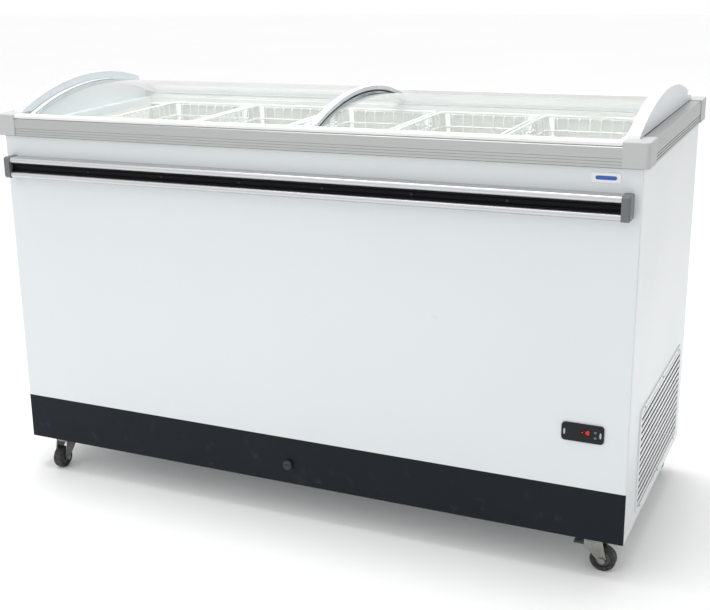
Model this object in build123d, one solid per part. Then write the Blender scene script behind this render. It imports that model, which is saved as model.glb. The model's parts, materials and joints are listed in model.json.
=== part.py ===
from build123d import *
import math
import os

# Chest freezer with two curved sliding glass lids, on four swivel casters.
# Millimetres. X runs along the front, Y from the front to the rear, Z up.
# The origin is on the floor under the middle of the outer box.

# Cabinet
CABINET_WIDTH = 1380
CABINET_DEPTH = 580
BODY_TOP = 800
BODY_BOTTOM = 80
SHEET = 1.0
WALL = 57
FOLD_RADIUS = 3
FOLD_RETURN = 4
SEAM = 0.4
KICK_TOP = 184
BASE_SHEET = 1.5
BASE_BOTTOM = 78
FLOOR_INSULATION = 60

# Machine compartment under the step at the right-hand end
COMPARTMENT_WIDTH = 210
COMPARTMENT_TOP = 335

# Top frame
FRAME_OVERHANG = 10
RAIL_WIDTH = 24
RAIL_TOP = 845
FRONT_RAIL_TOP = 838
RAIL_SKIN = 2
GROOVE_COUNT = 3
GROOVE_PITCH = 5.5
GROOVE_SIZE = 1.6
CAP_PROUD = 1
CAP_LENGTH_X = 47
CAP_LENGTH_Y = 63
CAP_TOP = 846

# Lids: both follow arcs about one axis, the left lid above the right one,
# and the right lid starts directly under the left lid's middle stile
LID_PEAK = 885
LID_RADIUS = 700
LID_STEP = 13.5
LID_THICKNESS = 9
LEFT_LID_LENGTH = 700
GLASS_THICKNESS = 4
GLASS_INSET = 2
GLASS_GRIP = 7
END_STILE = 12
MIDDLE_STILE = 16
LID_CLEAR = 2
ARCH_WIDTH = 22
ARCH_RISE = 17

# Lid tracks, measured inwards from the front face of the cabinet
LIP_END = 12
LIP_SKIN = 3
OUTER_RUNNER = (14, 30)
RIB = (32, 34)
INNER_RUNNER = (36, 52)
TRACK_WALL = (54, 57)
LEDGE_END = 67
LEDGE_TOP = 803
OUTER_FOOT = 812
INNER_FOOT = 808
FOOT_CLEAR = 0.5
RIB_TOP = 823
TRACK_WALL_TOP = 819

# Bumper on the front
BUMPER_OUT = 32
BUMPER_MIDDLE = 732
BUMPER_HEIGHT = 45
BUMPER_LOBE = 13
BUMPER_HALF = 661
BUMPER_CAP = 16
BUMPER_SCREWS = 6
BUMPER_SCREW_PITCH = 183
BUMPER_WEB = 4
INSERT_OUT = 24
INSERT_CHANNEL = 4

# Badge on the front panel: distances in from the right-hand edge, and heights
BADGE_X = (89, 37)
BADGE_Z = (771, 789)
BADGE_THICKNESS = 1.2

# Temperature controller
CONTROLLER_INSET = 84
CONTROLLER_Z = 297
CONTROLLER_BEZEL = (79, 36)
CONTROLLER_HOUSING = (70, 28)
HOUSING_DEPTH = 58
BEZEL_OUT = 4
WINDOW_DEPTH = 2
KEY_RADIUS = 2.2
KEY_HOLE = 2.5
KEY_PROUD = 1.2

# Drain
DRAIN_X = -10
DRAIN_Z = 124
DRAIN_BORE = 7
DRAIN_TUBE_RADIUS = 9.5
DRAIN_TUBE_LENGTH = 95
KNOB_RADIUS = 11
KNOB_OUT = 8
STEM_LENGTH = 24

# Side grille
GRILLE_SPAN = (100, 535)
GRILLE_Z = (100, 316)
GRILLE_BORDER = 9
GRILLE_PROUD = 2.5
GRILLE_CORNER = 14
LOUVRE_COUNT = 14
LOUVRE_THICKNESS = 1.4
LOUVRE_COVER = 0.5

# Evaporator tube round the liner
EVAPORATOR_RADIUS = 4
EVAPORATOR_GAP = 3
EVAPORATOR_STEP = 80
EVAPORATOR_LEVELS = (450, 530, 610, 690)
EVAPORATOR_CHANNEL = 12
EVAPORATOR_BEND = 12

# Machinery: places measured from the front of the cabinet
COMPRESSOR_BACK = 420
POT_RADIUS = 68
POT_HEIGHT = 165
CONDENSER_BACK = 110
CONDENSER_HEIGHT = 215
CONDENSER_DEPTH = 22
FIN_COUNT = 24
FIN_PITCH = 6.4
FIN_THICKNESS = 0.8
TUBE_RADIUS = 4.5
FAN_BACK = 162
FAN_Z = 200
FAN_RADIUS = 72
FAN_BLADES = 5
SHAFT_RADIUS = 3
MOTOR_RADIUS = 32
MOTOR_LENGTH = 42

# Cable gland in the rear sheet
GLAND_X = 600
GLAND_Z = 130
GLAND_RADIUS = 8
CORD_RADIUS = 4

# Hanging baskets
BASKET_COUNT = 5
BASKET_PITCH = 236
BASKET_FIRST = -452
BASKET_WIDTH = 228
BASKET_BOTTOM = 560
BASKET_WALL = 2.5
BASKET_TAPER = 5
BASKET_RIM = 3

# Casters
WHEEL_RADIUS = 25
WHEEL_WIDTH = 22
CASTER_TRAIL = 18
CASTER_SPREAD_X = 628
CASTER_INSET_Y = 45
AXLE_RADIUS = 3.97
KINGPIN_RADIUS = 5
RUNNING_FIT = 0.06
FORK_THICKNESS = 2.5
FORK_GAP = 2
PEDAL_PIN = (-13.5, 55)
PEDAL_PIN_RADIUS = 1.8

# Places worked out from the sizes above
SIDE = CABINET_WIDTH / 2
REAR_REACH = FRAME_OVERHANG + CAP_PROUD
FRONT = -(CABINET_DEPTH + REAR_REACH - BUMPER_OUT) / 2
REAR = FRONT + CABINET_DEPTH
MID_Y = (FRONT + REAR) / 2
CAVITY_X = SIDE - WALL
CAVITY_FRONT = FRONT + WALL
CAVITY_REAR = REAR - WALL
BASE_TOP = BASE_BOTTOM + BASE_SHEET
CAVITY_FLOOR = BASE_TOP + FLOOR_INSULATION
STEP_X = SIDE - COMPARTMENT_WIDTH - WALL
STEP_TOP = COMPARTMENT_TOP + WALL
LID_AXIS_Z = LID_PEAK - LID_RADIUS
ARCH_OUTSIDE = SIDE + FRAME_OVERHANG - RAIL_WIDTH
ARCH_INSIDE = ARCH_OUTSIDE - ARCH_WIDTH
LID_END = ARCH_INSIDE - LID_CLEAR
LEFT_LID_STOP = -LID_END + LEFT_LID_LENGTH
MIDDLE_STILE_START = LEFT_LID_STOP - MIDDLE_STILE
CAP_INSIDE = SIDE + FRAME_OVERHANG + CAP_PROUD - CAP_LENGTH_X
BUMPER_LOW = BUMPER_MIDDLE - BUMPER_HEIGHT / 2
BUMPER_HIGH = BUMPER_MIDDLE + BUMPER_HEIGHT / 2
CONTROLLER_X = SIDE - CONTROLLER_INSET
WINDOW = (CONTROLLER_X - 6, CONTROLLER_X + 16, CONTROLLER_Z - 5, CONTROLLER_Z + 9)
KEY_PLACES = ((CONTROLLER_X + 24, CONTROLLER_Z + 5), (CONTROLLER_X + 24, CONTROLLER_Z - 6))
GRILLE_Y = (FRONT + GRILLE_SPAN[0], FRONT + GRILLE_SPAN[1])
MACHINE_X = SIDE - COMPARTMENT_WIDTH / 2
COMPRESSOR_Y = FRONT + COMPRESSOR_BACK
CONDENSER_Y = FRONT + CONDENSER_BACK
FAN_Y = FRONT + FAN_BACK

os.makedirs("parts", exist_ok=True)


def write(name, *solids):
    """Write one node, from one solid or a group of separate solids."""
    shape = solids[0] if len(solids) == 1 else Compound(children=list(solids))
    export_step(shape, f"parts/{name}.step")


def block(x0, x1, y0, y1, z0, z1):
    """A straight-sided solid between two corners."""
    middle = Pos((x0 + x1) / 2, (y0 + y1) / 2, (z0 + z1) / 2)
    return middle * Box(x1 - x0, y1 - y0, z1 - z0)


def bar_along_x(points, x0, x1):
    """A bar whose section is a list of (y, z) corners."""
    plane = Plane(origin=(x0, 0, 0), x_dir=(0, 1, 0), z_dir=(1, 0, 0))
    section = make_face(Polyline(*points, close=True))
    return extrude(plane * section, amount=x1 - x0)


def bar_along_y(points, y0, y1):
    """A bar whose section is a list of (x, z) corners."""
    plane = Plane(origin=(0, y1, 0), x_dir=(1, 0, 0), z_dir=(0, -1, 0))
    section = make_face(Polyline(*points, close=True))
    return extrude(plane * section, amount=y1 - y0)


def rod(start, axis, radius, length):
    """A round rod from a start point along an axis."""
    return extrude(Plane(origin=start, z_dir=axis) * Circle(radius), amount=length)


def upright_edges(solid):
    return solid.edges().filter_by(Axis.Z)


def arc_height(radius, inward):
    """Height of a lid arc at a distance inwards from the cabinet's front face."""
    return LID_AXIS_Z + math.sqrt(radius**2 - (FRONT + inward - MID_Y) ** 2)


def arc_band(inner, outer, inward, x0, x1):
    """A curved band between two radii, over a stretch of the depth."""
    y0 = FRONT + inward
    y1 = REAR - inward
    plane = Plane(origin=(x0, MID_Y, LID_AXIS_Z), x_dir=(0, 1, 0), z_dir=(1, 0, 0))
    ring = Circle(outer) - Circle(inner)
    band = extrude(plane * ring, amount=x1 - x0)
    return band & block(x0, x1, y0, y1, LID_AXIS_Z + inner / 2, LID_PEAK + LID_RADIUS)


# Cabinet shell


def wrapped_panel(z0, z1, setback):
    """A front sheet with short folded returns at both ends."""
    y0 = FRONT + setback
    outside = block(-SIDE, SIDE, y0, FRONT + FOLD_RETURN, z0, z1)
    corners = upright_edges(outside).group_by(Axis.Y)[0]
    outside = fillet(corners, FOLD_RADIUS - setback)
    inside = block(-SIDE + SHEET, SIDE - SHEET, y0 + SHEET, FRONT + FOLD_RETURN, z0, z1)
    return outside - inside


def front_panel():
    panel = wrapped_panel(KICK_TOP + SEAM, BODY_TOP, 0)
    width, height = CONTROLLER_HOUSING
    opening = block(
        CONTROLLER_X - width / 2 - SEAM,
        CONTROLLER_X + width / 2 + SEAM,
        FRONT - SHEET,
        FRONT + WALL,
        CONTROLLER_Z - height / 2 - SEAM,
        CONTROLLER_Z + height / 2 + SEAM,
    )
    return panel - opening


def kick_plate():
    plate = wrapped_panel(BODY_BOTTOM, KICK_TOP, SEAM)
    hole = rod((DRAIN_X, FRONT - SHEET, DRAIN_Z), (0, 1, 0), DRAIN_BORE + SHEET, WALL)
    return plate - hole


def side_panel(side):
    y0 = FRONT + FOLD_RETURN + SEAM
    x0, x1 = sorted((side * (SIDE - SHEET), side * SIDE))
    return block(x0, x1, y0, REAR - SHEET, BODY_BOTTOM, BODY_TOP)


def right_side_panel():
    opening = block(
        SIDE - 2 * SHEET,
        SIDE + SHEET,
        GRILLE_Y[0] + GRILLE_BORDER / 2,
        GRILLE_Y[1] - GRILLE_BORDER / 2,
        GRILLE_Z[0] + GRILLE_BORDER / 2,
        GRILLE_Z[1] - GRILLE_BORDER / 2,
    )
    return side_panel(1) - opening


def rear_panel():
    sheet = block(-SIDE, SIDE, REAR - SHEET, REAR, BODY_BOTTOM, BODY_TOP)
    hole = rod((GLAND_X, REAR - WALL, GLAND_Z), (0, 1, 0), GLAND_RADIUS, 2 * WALL)
    return sheet - hole


def base_tray():
    """Floor sheet with low flanges turned up inside the side panels."""
    inset = 2 * SHEET
    x1 = SIDE - inset
    flange = 14
    y0 = FRONT + FOLD_RETURN + SEAM
    y1 = REAR - inset
    tray = block(-x1, x1, y0, y1, BASE_BOTTOM, BASE_TOP)
    for side in (-1, 1):
        a, b = sorted((side * x1, side * (x1 - BASE_SHEET)))
        tray += block(a, b, y0, y1, BASE_TOP, BASE_TOP + flange)
    return tray


def side_grille():
    """Louvred cover over the machine compartment, with a raised rounded border."""
    y0, y1 = GRILLE_Y
    z0, z1 = GRILLE_Z
    x0 = SIDE
    border = block(x0, x0 + GRILLE_PROUD, y0, y1, z0, z1)
    border = fillet(border.edges().filter_by(Axis.X), GRILLE_CORNER)
    border = chamfer(border.faces().sort_by(Axis.X)[-1].edges(), 1)
    opening = block(
        x0 - WALL, x0 + WALL, y0 + GRILLE_BORDER, y1 - GRILLE_BORDER,
        z0 + GRILLE_BORDER, z1 - GRILLE_BORDER,
    )
    opening = fillet(opening.edges().filter_by(Axis.X), GRILLE_CORNER - GRILLE_BORDER / 2)
    cover = border - opening
    pitch = (z1 - z0 - 2 * GRILLE_BORDER) / LOUVRE_COUNT
    for index in range(LOUVRE_COUNT):
        z = z0 + GRILLE_BORDER + (index + 0.5) * pitch
        slat = Box(LOUVRE_THICKNESS, y1 - y0 - GRILLE_BORDER, pitch * LOUVRE_COVER)
        cover += Pos(x0 + GRILLE_PROUD / 2, (y0 + y1) / 2, z) * slat
    return cover


# Insulation and inner liner


def machine_space():
    return block(SIDE - COMPARTMENT_WIDTH, SIDE, FRONT, REAR, BODY_BOTTOM - SHEET, COMPARTMENT_TOP)


def evaporator_tube():
    """One tube wound round the outside of the liner, with a riser between the turns."""
    gap = SHEET + EVAPORATOR_RADIUS + EVAPORATOR_GAP
    riser = 60
    x = CAVITY_X + gap
    y0 = CAVITY_FRONT - gap
    y1 = CAVITY_REAR + gap
    points = [(x - riser, y1, EVAPORATOR_LEVELS[0])]
    for z in EVAPORATOR_LEVELS:
        if z != EVAPORATOR_LEVELS[0]:
            points += [(x - riser, y1, z)]
        points += [(-x, y1, z), (-x, y0, z), (x, y0, z), (x, y1, z), (x - riser / 2, y1, z)]
        if z != EVAPORATOR_LEVELS[-1]:
            points += [(x - riser / 2, y1, z + EVAPORATOR_STEP / 2)]
            points += [(x - riser, y1, z + EVAPORATOR_STEP / 2)]
    path = FilletPolyline(*points, radius=EVAPORATOR_BEND)
    return sweep(Plane(origin=path @ 0, z_dir=path % 0) * Circle(EVAPORATOR_RADIUS), path=path)


def foam_insulation():
    """The foamed body between the outer sheets and the liner."""
    skin = SHEET
    y0 = FRONT + FOLD_RETURN + SEAM
    foam = block(-SIDE + skin, SIDE - skin, y0, REAR - skin, BASE_TOP, BODY_TOP)
    foam -= block(-CAVITY_X - skin, CAVITY_X + skin, CAVITY_FRONT - skin, CAVITY_REAR + skin,
                  STEP_TOP - skin, BODY_TOP)
    foam -= block(-CAVITY_X - skin, STEP_X + skin, CAVITY_FRONT - skin, CAVITY_REAR + skin,
                  CAVITY_FLOOR - skin, STEP_TOP)
    foam -= machine_space()
    flange = block(-SIDE, SIDE, FRONT, REAR, BASE_TOP, BASE_TOP + 14)
    flange -= block(-SIDE + 2 * skin + BASE_SHEET, SIDE - 2 * skin - BASE_SHEET, FRONT, REAR,
                    BASE_TOP, BASE_TOP + 14)
    foam -= flange
    out = skin + EVAPORATOR_CHANNEL
    z0 = EVAPORATOR_LEVELS[0] - EVAPORATOR_CHANNEL / 2
    z1 = EVAPORATOR_LEVELS[-1] + EVAPORATOR_CHANNEL / 2
    foam -= block(-CAVITY_X - out, CAVITY_X + out, CAVITY_FRONT - out, CAVITY_REAR + out, z0, z1)
    drain = rod((DRAIN_X, FRONT, DRAIN_Z), (0, 1, 0), DRAIN_TUBE_RADIUS, DRAIN_TUBE_LENGTH)
    drain += rod((DRAIN_X, FRONT + DRAIN_TUBE_LENGTH - DRAIN_TUBE_RADIUS, DRAIN_Z), (0, 0, 1),
                 DRAIN_TUBE_RADIUS, CAVITY_FLOOR - DRAIN_Z)
    return foam - drain


def liner_walls():
    t = SHEET
    x = CAVITY_X
    y0 = CAVITY_FRONT
    y1 = CAVITY_REAR
    z0 = CAVITY_FLOOR
    front = block(-x - t, x + t, y0 - t, y0, STEP_TOP, BODY_TOP)
    front += block(-x - t, STEP_X, y0 - t, y0, z0, STEP_TOP)
    rear = block(-x - t, x + t, y1, y1 + t, STEP_TOP, BODY_TOP)
    rear += block(-x - t, STEP_X, y1, y1 + t, z0, STEP_TOP)
    left = block(-x - t, -x, y0, y1, z0, BODY_TOP)
    right = block(x, x + t, y0, y1, STEP_TOP, BODY_TOP)
    return front, rear, left, right


def liner_floor():
    t = SHEET
    floor = block(-CAVITY_X - t, STEP_X + t, CAVITY_FRONT - t, CAVITY_REAR + t,
                  CAVITY_FLOOR - t, CAVITY_FLOOR)
    mouth = rod((DRAIN_X, FRONT + DRAIN_TUBE_LENGTH - DRAIN_TUBE_RADIUS, DRAIN_Z), (0, 0, 1),
                DRAIN_TUBE_RADIUS, WALL)
    return floor - mouth


def liner_step():
    t = SHEET
    upright = block(STEP_X, STEP_X + t, CAVITY_FRONT, CAVITY_REAR, CAVITY_FLOOR, STEP_TOP)
    shelf = block(STEP_X, CAVITY_X + t, CAVITY_FRONT, CAVITY_REAR, STEP_TOP - t, STEP_TOP)
    return upright + shelf


def drain_tube():
    """Elbow tube from the cavity floor to the front of the kick plate."""
    y0 = FRONT + FOLD_RETURN + SEAM
    turn_y = FRONT + DRAIN_TUBE_LENGTH - DRAIN_TUBE_RADIUS
    outside = rod((DRAIN_X, y0, DRAIN_Z), (0, 1, 0), DRAIN_TUBE_RADIUS, turn_y - y0 + DRAIN_BORE)
    outside += rod((DRAIN_X, turn_y, DRAIN_Z), (0, 0, 1), DRAIN_TUBE_RADIUS, CAVITY_FLOOR - DRAIN_Z)
    inside = rod((DRAIN_X, y0, DRAIN_Z), (0, 1, 0), DRAIN_BORE, turn_y - y0 + DRAIN_BORE - 2)
    inside += rod((DRAIN_X, turn_y, DRAIN_Z), (0, 0, 1), DRAIN_BORE, CAVITY_FLOOR - DRAIN_Z)
    return outside - inside


def drain_plug():
    """Round knob with a stem that closes the drain tube."""
    knob = rod((DRAIN_X, FRONT - KNOB_OUT, DRAIN_Z), (0, 1, 0), KNOB_RADIUS, KNOB_OUT - SEAM / 2)
    knob = fillet(knob.faces().sort_by(Axis.Y)[0].edges(), 2.5)
    return knob + rod((DRAIN_X, FRONT - 2, DRAIN_Z), (0, 1, 0), DRAIN_BORE - 0.3, STEM_LENGTH + 2)


# Top frame


def rail_section(top, width):
    """Section of a frame rail and its hollow: (distance out from the cabinet face, height)."""
    out = FRAME_OVERHANG
    points = [(out - width, BODY_TOP), (out, BODY_TOP)]
    for index in range(GROOVE_COUNT):
        z = BODY_TOP + 4.5 + index * GROOVE_PITCH
        points += [(out, z), (out - GROOVE_SIZE, z), (out - GROOVE_SIZE, z + GROOVE_SIZE)]
        points += [(out, z + GROOVE_SIZE)]
    points += [(out, top - 3), (out - 3, top), (out - width, top)]
    hollow = [
        (out - width + RAIL_SKIN, BODY_TOP + RAIL_SKIN),
        (out - 2 * RAIL_SKIN, BODY_TOP + RAIL_SKIN),
        (out - 2 * RAIL_SKIN, top - 2 * RAIL_SKIN),
        (out - width + RAIL_SKIN, top - 2 * RAIL_SKIN),
    ]
    return points, hollow


def end_rail(front, top):
    """Front or rear rail, between the corner caps."""
    points, hollow = rail_section(top, FRAME_OVERHANG + LIP_END - LIP_SKIN)
    face = FRONT if front else REAR
    sign = -1 if front else 1

    def place(section):
        return [(face + sign * out, z) for out, z in section]

    outside = bar_along_x(place(points), -CAP_INSIDE, CAP_INSIDE)
    return outside - bar_along_x(place(hollow), -CAP_INSIDE, CAP_INSIDE)


def side_rail(side):
    points, hollow = rail_section(RAIL_TOP, RAIL_WIDTH)
    y0 = FRONT - REAR_REACH + CAP_LENGTH_Y
    y1 = REAR + REAR_REACH - CAP_LENGTH_Y

    def place(section):
        return [(side * (SIDE + out), z) for out, z in section]

    return bar_along_y(place(points), y0, y1) - bar_along_y(place(hollow), y0, y1)


def corner_cap(side, rear):
    """Moulded cap over one corner of the frame, open at the lid tracks."""
    x1 = SIDE + FRAME_OVERHANG + CAP_PROUD
    x0 = x1 - CAP_LENGTH_X
    y0 = FRONT - REAR_REACH
    y1 = y0 + CAP_LENGTH_Y
    cap = block(x0, x1, y0, y1, BODY_TOP, CAP_TOP)
    corner = upright_edges(cap).sort_by(lambda edge: edge.center().Y - edge.center().X)[0]
    cap = fillet(corner, 8)
    top = cap.faces().sort_by(Axis.Z)[-1]
    rim = [e for e in top.edges() if e.center().X > x1 - 12 or e.center().Y < y0 + 12]
    cap = fillet([e for e in rim if e.center().X > x0 + 1 and e.center().Y < y1 - 1], 2.5)
    cap = Pos(0, -MID_Y, 0) * cap
    if side < 0:
        cap = mirror(cap, about=Plane.YZ)
    if rear:
        cap = mirror(cap, about=Plane.XZ)
    return Pos(0, MID_Y, 0) * cap


def lid_track():
    """Plastic double track behind the front rail, with a nose over the rail."""
    f = FRONT
    lip_top = CAP_TOP
    points = [
        (f - FRAME_OVERHANG + 1, FRONT_RAIL_TOP),
        (f - FRAME_OVERHANG + 1, lip_top - 3),
        (f - FRAME_OVERHANG + 4, lip_top),
        (f + LIP_END, lip_top),
        (f + LIP_END, OUTER_FOOT - FOOT_CLEAR),
        (f + RIB[0], OUTER_FOOT - FOOT_CLEAR),
        (f + RIB[0], RIB_TOP),
        (f + RIB[1], RIB_TOP),
        (f + RIB[1], INNER_FOOT - FOOT_CLEAR),
        (f + TRACK_WALL[0], INNER_FOOT - FOOT_CLEAR),
        (f + TRACK_WALL[0], TRACK_WALL_TOP),
        (f + TRACK_WALL[1], TRACK_WALL_TOP),
        (f + TRACK_WALL[1], LEDGE_TOP),
        (f + LEDGE_END, LEDGE_TOP),
        (f + LEDGE_END, BODY_TOP),
        (f + LIP_END - LIP_SKIN, BODY_TOP),
        (f + LIP_END - LIP_SKIN, FRONT_RAIL_TOP),
    ]
    return bar_along_x(points, -CAP_INSIDE, CAP_INSIDE)


def mirrored_to_rear(solid):
    return Pos(0, MID_Y, 0) * mirror(Pos(0, -MID_Y, 0) * solid, about=Plane.XZ)


def end_arch(side):
    """White end moulding: a sill over the wall and a curved sail beside the lids."""
    f = FRONT
    radius = LID_RADIUS + ARCH_RISE
    sill_top = TRACK_WALL_TOP
    sill_end = CAP_LENGTH_Y - REAR_REACH
    tail = 500
    x0 = ARCH_INSIDE
    x1 = ARCH_OUTSIDE
    disc = extrude(
        Plane(origin=(x0, MID_Y, LID_AXIS_Z), x_dir=(0, 1, 0), z_dir=(1, 0, 0)) * Circle(radius),
        amount=x1 - x0,
    )
    outline = [
        (f + 22, CAP_TOP),
        (f + 30, CAP_TOP + 12),
        (f + 58, CAP_TOP + 100),
        (f + tail, CAP_TOP + 100),
        (f + tail, CAP_TOP + 14),
        (f + tail + 44, CAP_TOP + 9),
        (f + tail + 56, CAP_TOP),
        (f + CABINET_DEPTH - sill_end, CAP_TOP),
        (f + CABINET_DEPTH - sill_end, sill_top - 5),
        (f + sill_end, sill_top - 5),
        (f + sill_end, CAP_TOP),
    ]
    sail = bar_along_x(outline, x0, x1) & disc
    rounded = [e for e in sail.edges().filter_by(Axis.X) if e.center().Z > CAP_TOP + 16]
    sail = fillet(rounded, 7)
    sill = block(CAVITY_X, x1, f + LEDGE_END, f + CABINET_DEPTH - LEDGE_END, BODY_TOP, sill_top)
    link = block(CAP_INSIDE, x1, f + sill_end, f + CABINET_DEPTH - sill_end, BODY_TOP, sill_top)
    arch = sail + sill + link
    return arch if side > 0 else mirror(arch, about=Plane.YZ)


# Lids


def lid(x0, x1, top_radius, runner, foot, end_side):
    """Glass, two runners and two stiles of one lid."""
    low = top_radius - LID_THICKNESS
    inward = runner[0]
    first = END_STILE if end_side < 0 else MIDDLE_STILE
    last = MIDDLE_STILE if end_side < 0 else END_STILE
    glass_top = top_radius - GLASS_INSET
    glass = arc_band(
        glass_top - GLASS_THICKNESS, glass_top, inward + 4,
        x0 + first - GLASS_GRIP, x1 - last + GLASS_GRIP,
    )
    full = arc_band(low, top_radius, inward, x0, x1)
    left = full & block(x0, x0 + first, FRONT, REAR, 0, LID_PEAK + 50)
    right = full & block(x1 - last, x1, FRONT, REAR, 0, LID_PEAK + 50)
    stiles = [left - glass, right - glass]
    band = full & block(x0 + first, x1 - last, FRONT, FRONT + runner[1] + 4, 0, LID_PEAK)
    top = arc_height(top_radius - GLASS_INSET, inward)
    front = band + block(x0 + first, x1 - last, FRONT + runner[0], FRONT + runner[1], foot, top)
    front = front - glass
    runners = [front, mirrored_to_rear(front)]
    return glass, runners, stiles


def lid_grip(x0, x1):
    """Moulded foot of the left lid's middle stile, pushed by the fingers."""
    top = LID_RADIUS
    start = OUTER_RUNNER[0] + 2
    pad = arc_band(top, top + 7, start, x0 - 3, x1 + 3)
    pad = pad & block(x0 - 3, x1 + 3, FRONT, FRONT + 44, 0, LID_PEAK + 50)
    pad = fillet(pad.edges().filter_by(Axis.X).sort_by(Axis.Z)[-1], 3)
    ridge = arc_band(top, top + 10, start, x0 + 3, x1 - 3)
    ridge = ridge & block(x0 + 3, x1 - 3, FRONT + 24, FRONT + 40, 0, LID_PEAK + 50)
    return pad + ridge


# Bumper


def bumper_lobe(z0, z1):
    lobe = block(-BUMPER_HALF, BUMPER_HALF, FRONT - BUMPER_OUT + 2, FRONT, z0, z1)
    nose = lobe.edges().filter_by(Axis.X).group_by(Axis.Y)[0]
    return fillet(nose, (z1 - z0) / 2 - 0.2)


def bumper_rail():
    """Aluminium channel with a rounded lobe above and below."""
    rail = bumper_lobe(BUMPER_HIGH - BUMPER_LOBE, BUMPER_HIGH)
    rail += bumper_lobe(BUMPER_LOW, BUMPER_LOW + BUMPER_LOBE)
    web = block(-BUMPER_HALF, BUMPER_HALF, FRONT - BUMPER_WEB, FRONT,
                BUMPER_LOW + BUMPER_LOBE, BUMPER_HIGH - BUMPER_LOBE)
    return rail + web


def bumper_insert():
    """Black strip between the lobes, with a shallow channel for the screws."""
    low = BUMPER_LOW + BUMPER_LOBE
    high = BUMPER_HIGH - BUMPER_LOBE
    front = FRONT - INSERT_OUT
    points = [
        (FRONT - BUMPER_WEB, low), (front, low), (front, low + 3), (front + INSERT_CHANNEL, low + 6),
        (front + INSERT_CHANNEL, high - 6), (front, high - 3), (front, high), (FRONT - BUMPER_WEB, high),
    ]
    return bar_along_x(points, -BUMPER_HALF, BUMPER_HALF)


def bumper_screws():
    heads = []
    seat = FRONT - INSERT_OUT + INSERT_CHANNEL
    for index in range(BUMPER_SCREWS):
        x = (index - (BUMPER_SCREWS - 1) / 2) * BUMPER_SCREW_PITCH
        head = rod((x, seat - 1.8, BUMPER_MIDDLE), (0, 1, 0), 3.5, 1.8)
        head = chamfer(head.faces().sort_by(Axis.Y)[0].edges(), 0.7)
        for wide, tall in ((2.2, 0.5), (0.5, 2.2)):
            head -= block(x - wide, x + wide, seat - 2, seat - 1, BUMPER_MIDDLE - tall, BUMPER_MIDDLE + tall)
        heads.append(head)
    return heads


def bumper_end_cap(side):
    x0, x1 = sorted((side * BUMPER_HALF, side * (BUMPER_HALF + BUMPER_CAP)))
    cap = block(x0, x1, FRONT - BUMPER_OUT, FRONT, BUMPER_LOW - 1, BUMPER_HIGH + 1)
    nose = cap.edges().filter_by(Axis.X).group_by(Axis.Y)[0]
    cap = fillet(nose, 6)
    outer = cap.faces().sort_by(Axis.X)[-1 if side > 0 else 0]
    rim = [e for e in outer.edges() if e.center().Y < FRONT - 0.5]
    return fillet(rim, 4)


# Badge and temperature controller


def name_badge():
    x0, x1 = SIDE - BADGE_X[0], SIDE - BADGE_X[1]
    plate = block(x0, x1, FRONT - BADGE_THICKNESS, FRONT, BADGE_Z[0], BADGE_Z[1])
    plate = fillet(plate.edges().filter_by(Axis.Y), 4)
    return chamfer(plate.faces().sort_by(Axis.Y)[0].edges(), 0.4)


def controller_body():
    """Black bezel with its housing behind the front panel."""
    width, height = CONTROLLER_BEZEL
    deep_w, deep_h = CONTROLLER_HOUSING
    middle = (CONTROLLER_X, FRONT, CONTROLLER_Z)
    bezel = Pos(0, -BEZEL_OUT / 2, 0) * Pos(*middle) * Box(width, BEZEL_OUT, height)
    bezel = fillet(bezel.edges().filter_by(Axis.Y), 7)
    bezel = fillet(bezel.faces().sort_by(Axis.Y)[0].edges(), 1.5)
    body = bezel + Pos(0, HOUSING_DEPTH / 2, 0) * Pos(*middle) * Box(deep_w, HOUSING_DEPTH, deep_h)
    body -= controller_window()
    for key_x, key_z in KEY_PLACES:
        body -= rod((key_x, FRONT - BEZEL_OUT - 1, key_z), (0, 1, 0), KEY_HOLE, 6)
    return body


def controller_window():
    x0, x1, z0, z1 = WINDOW
    return block(x0, x1, FRONT - BEZEL_OUT, FRONT - BEZEL_OUT + WINDOW_DEPTH, z0, z1)


def controller_key(place):
    key_x, key_z = place
    key = rod((key_x, FRONT - BEZEL_OUT - KEY_PROUD, key_z), (0, 1, 0), KEY_RADIUS, 4)
    return fillet(key.faces().sort_by(Axis.Y)[0].edges(), 0.6)


def controller_screw_caps():
    """Oval covers over the two fixing screws of the bezel."""
    width = CONTROLLER_BEZEL[0]
    caps = []
    for side in (-1, 1):
        place = (CONTROLLER_X + side * (width / 2 - 6), FRONT - BEZEL_OUT, CONTROLLER_Z)
        plane = Plane(origin=place, x_dir=(1, 0, 0), z_dir=(0, -1, 0))
        cap = extrude(plane * Ellipse(1.8, 6), amount=0.8)
        caps.append(cap)
    return caps


# Machinery in the compartment


def compressor():
    """Sealed steel pot on a foot plate, with suction and discharge stubs."""
    x, y, z0 = MACHINE_X, COMPRESSOR_Y, BASE_TOP
    grommet = 12
    plate_top = z0 + grommet + 3
    body = block(x - 85, x + 85, y - 55, y + 55, z0 + grommet, plate_top)
    for side_x in (-1, 1):
        for side_y in (-1, 1):
            body += rod((x + side_x * 72, y + side_y * 42, z0), (0, 0, 1), 11, grommet)
    pot = rod((x, y, plate_top), (0, 0, 1), POT_RADIUS, POT_HEIGHT)
    pot = fillet(pot.faces().sort_by(Axis.Z)[-1].edges(), 45)
    pot = fillet(pot.faces().sort_by(Axis.Z)[0].edges(), 12)
    body += pot
    body += rod((x, y, z0 + 88), (0, 0, 1), POT_RADIUS + 3, 5)
    body += rod((x - 30, y - 40, z0 + 120), (0, -1, 0), 5, 42)
    body += rod((x + 25, y - 40, z0 + 105), (0, -1, 0), 4, 42)
    return body + block(x + 40, x + 84, y - 25, y + 25, z0 + 60, z0 + 110)


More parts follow.
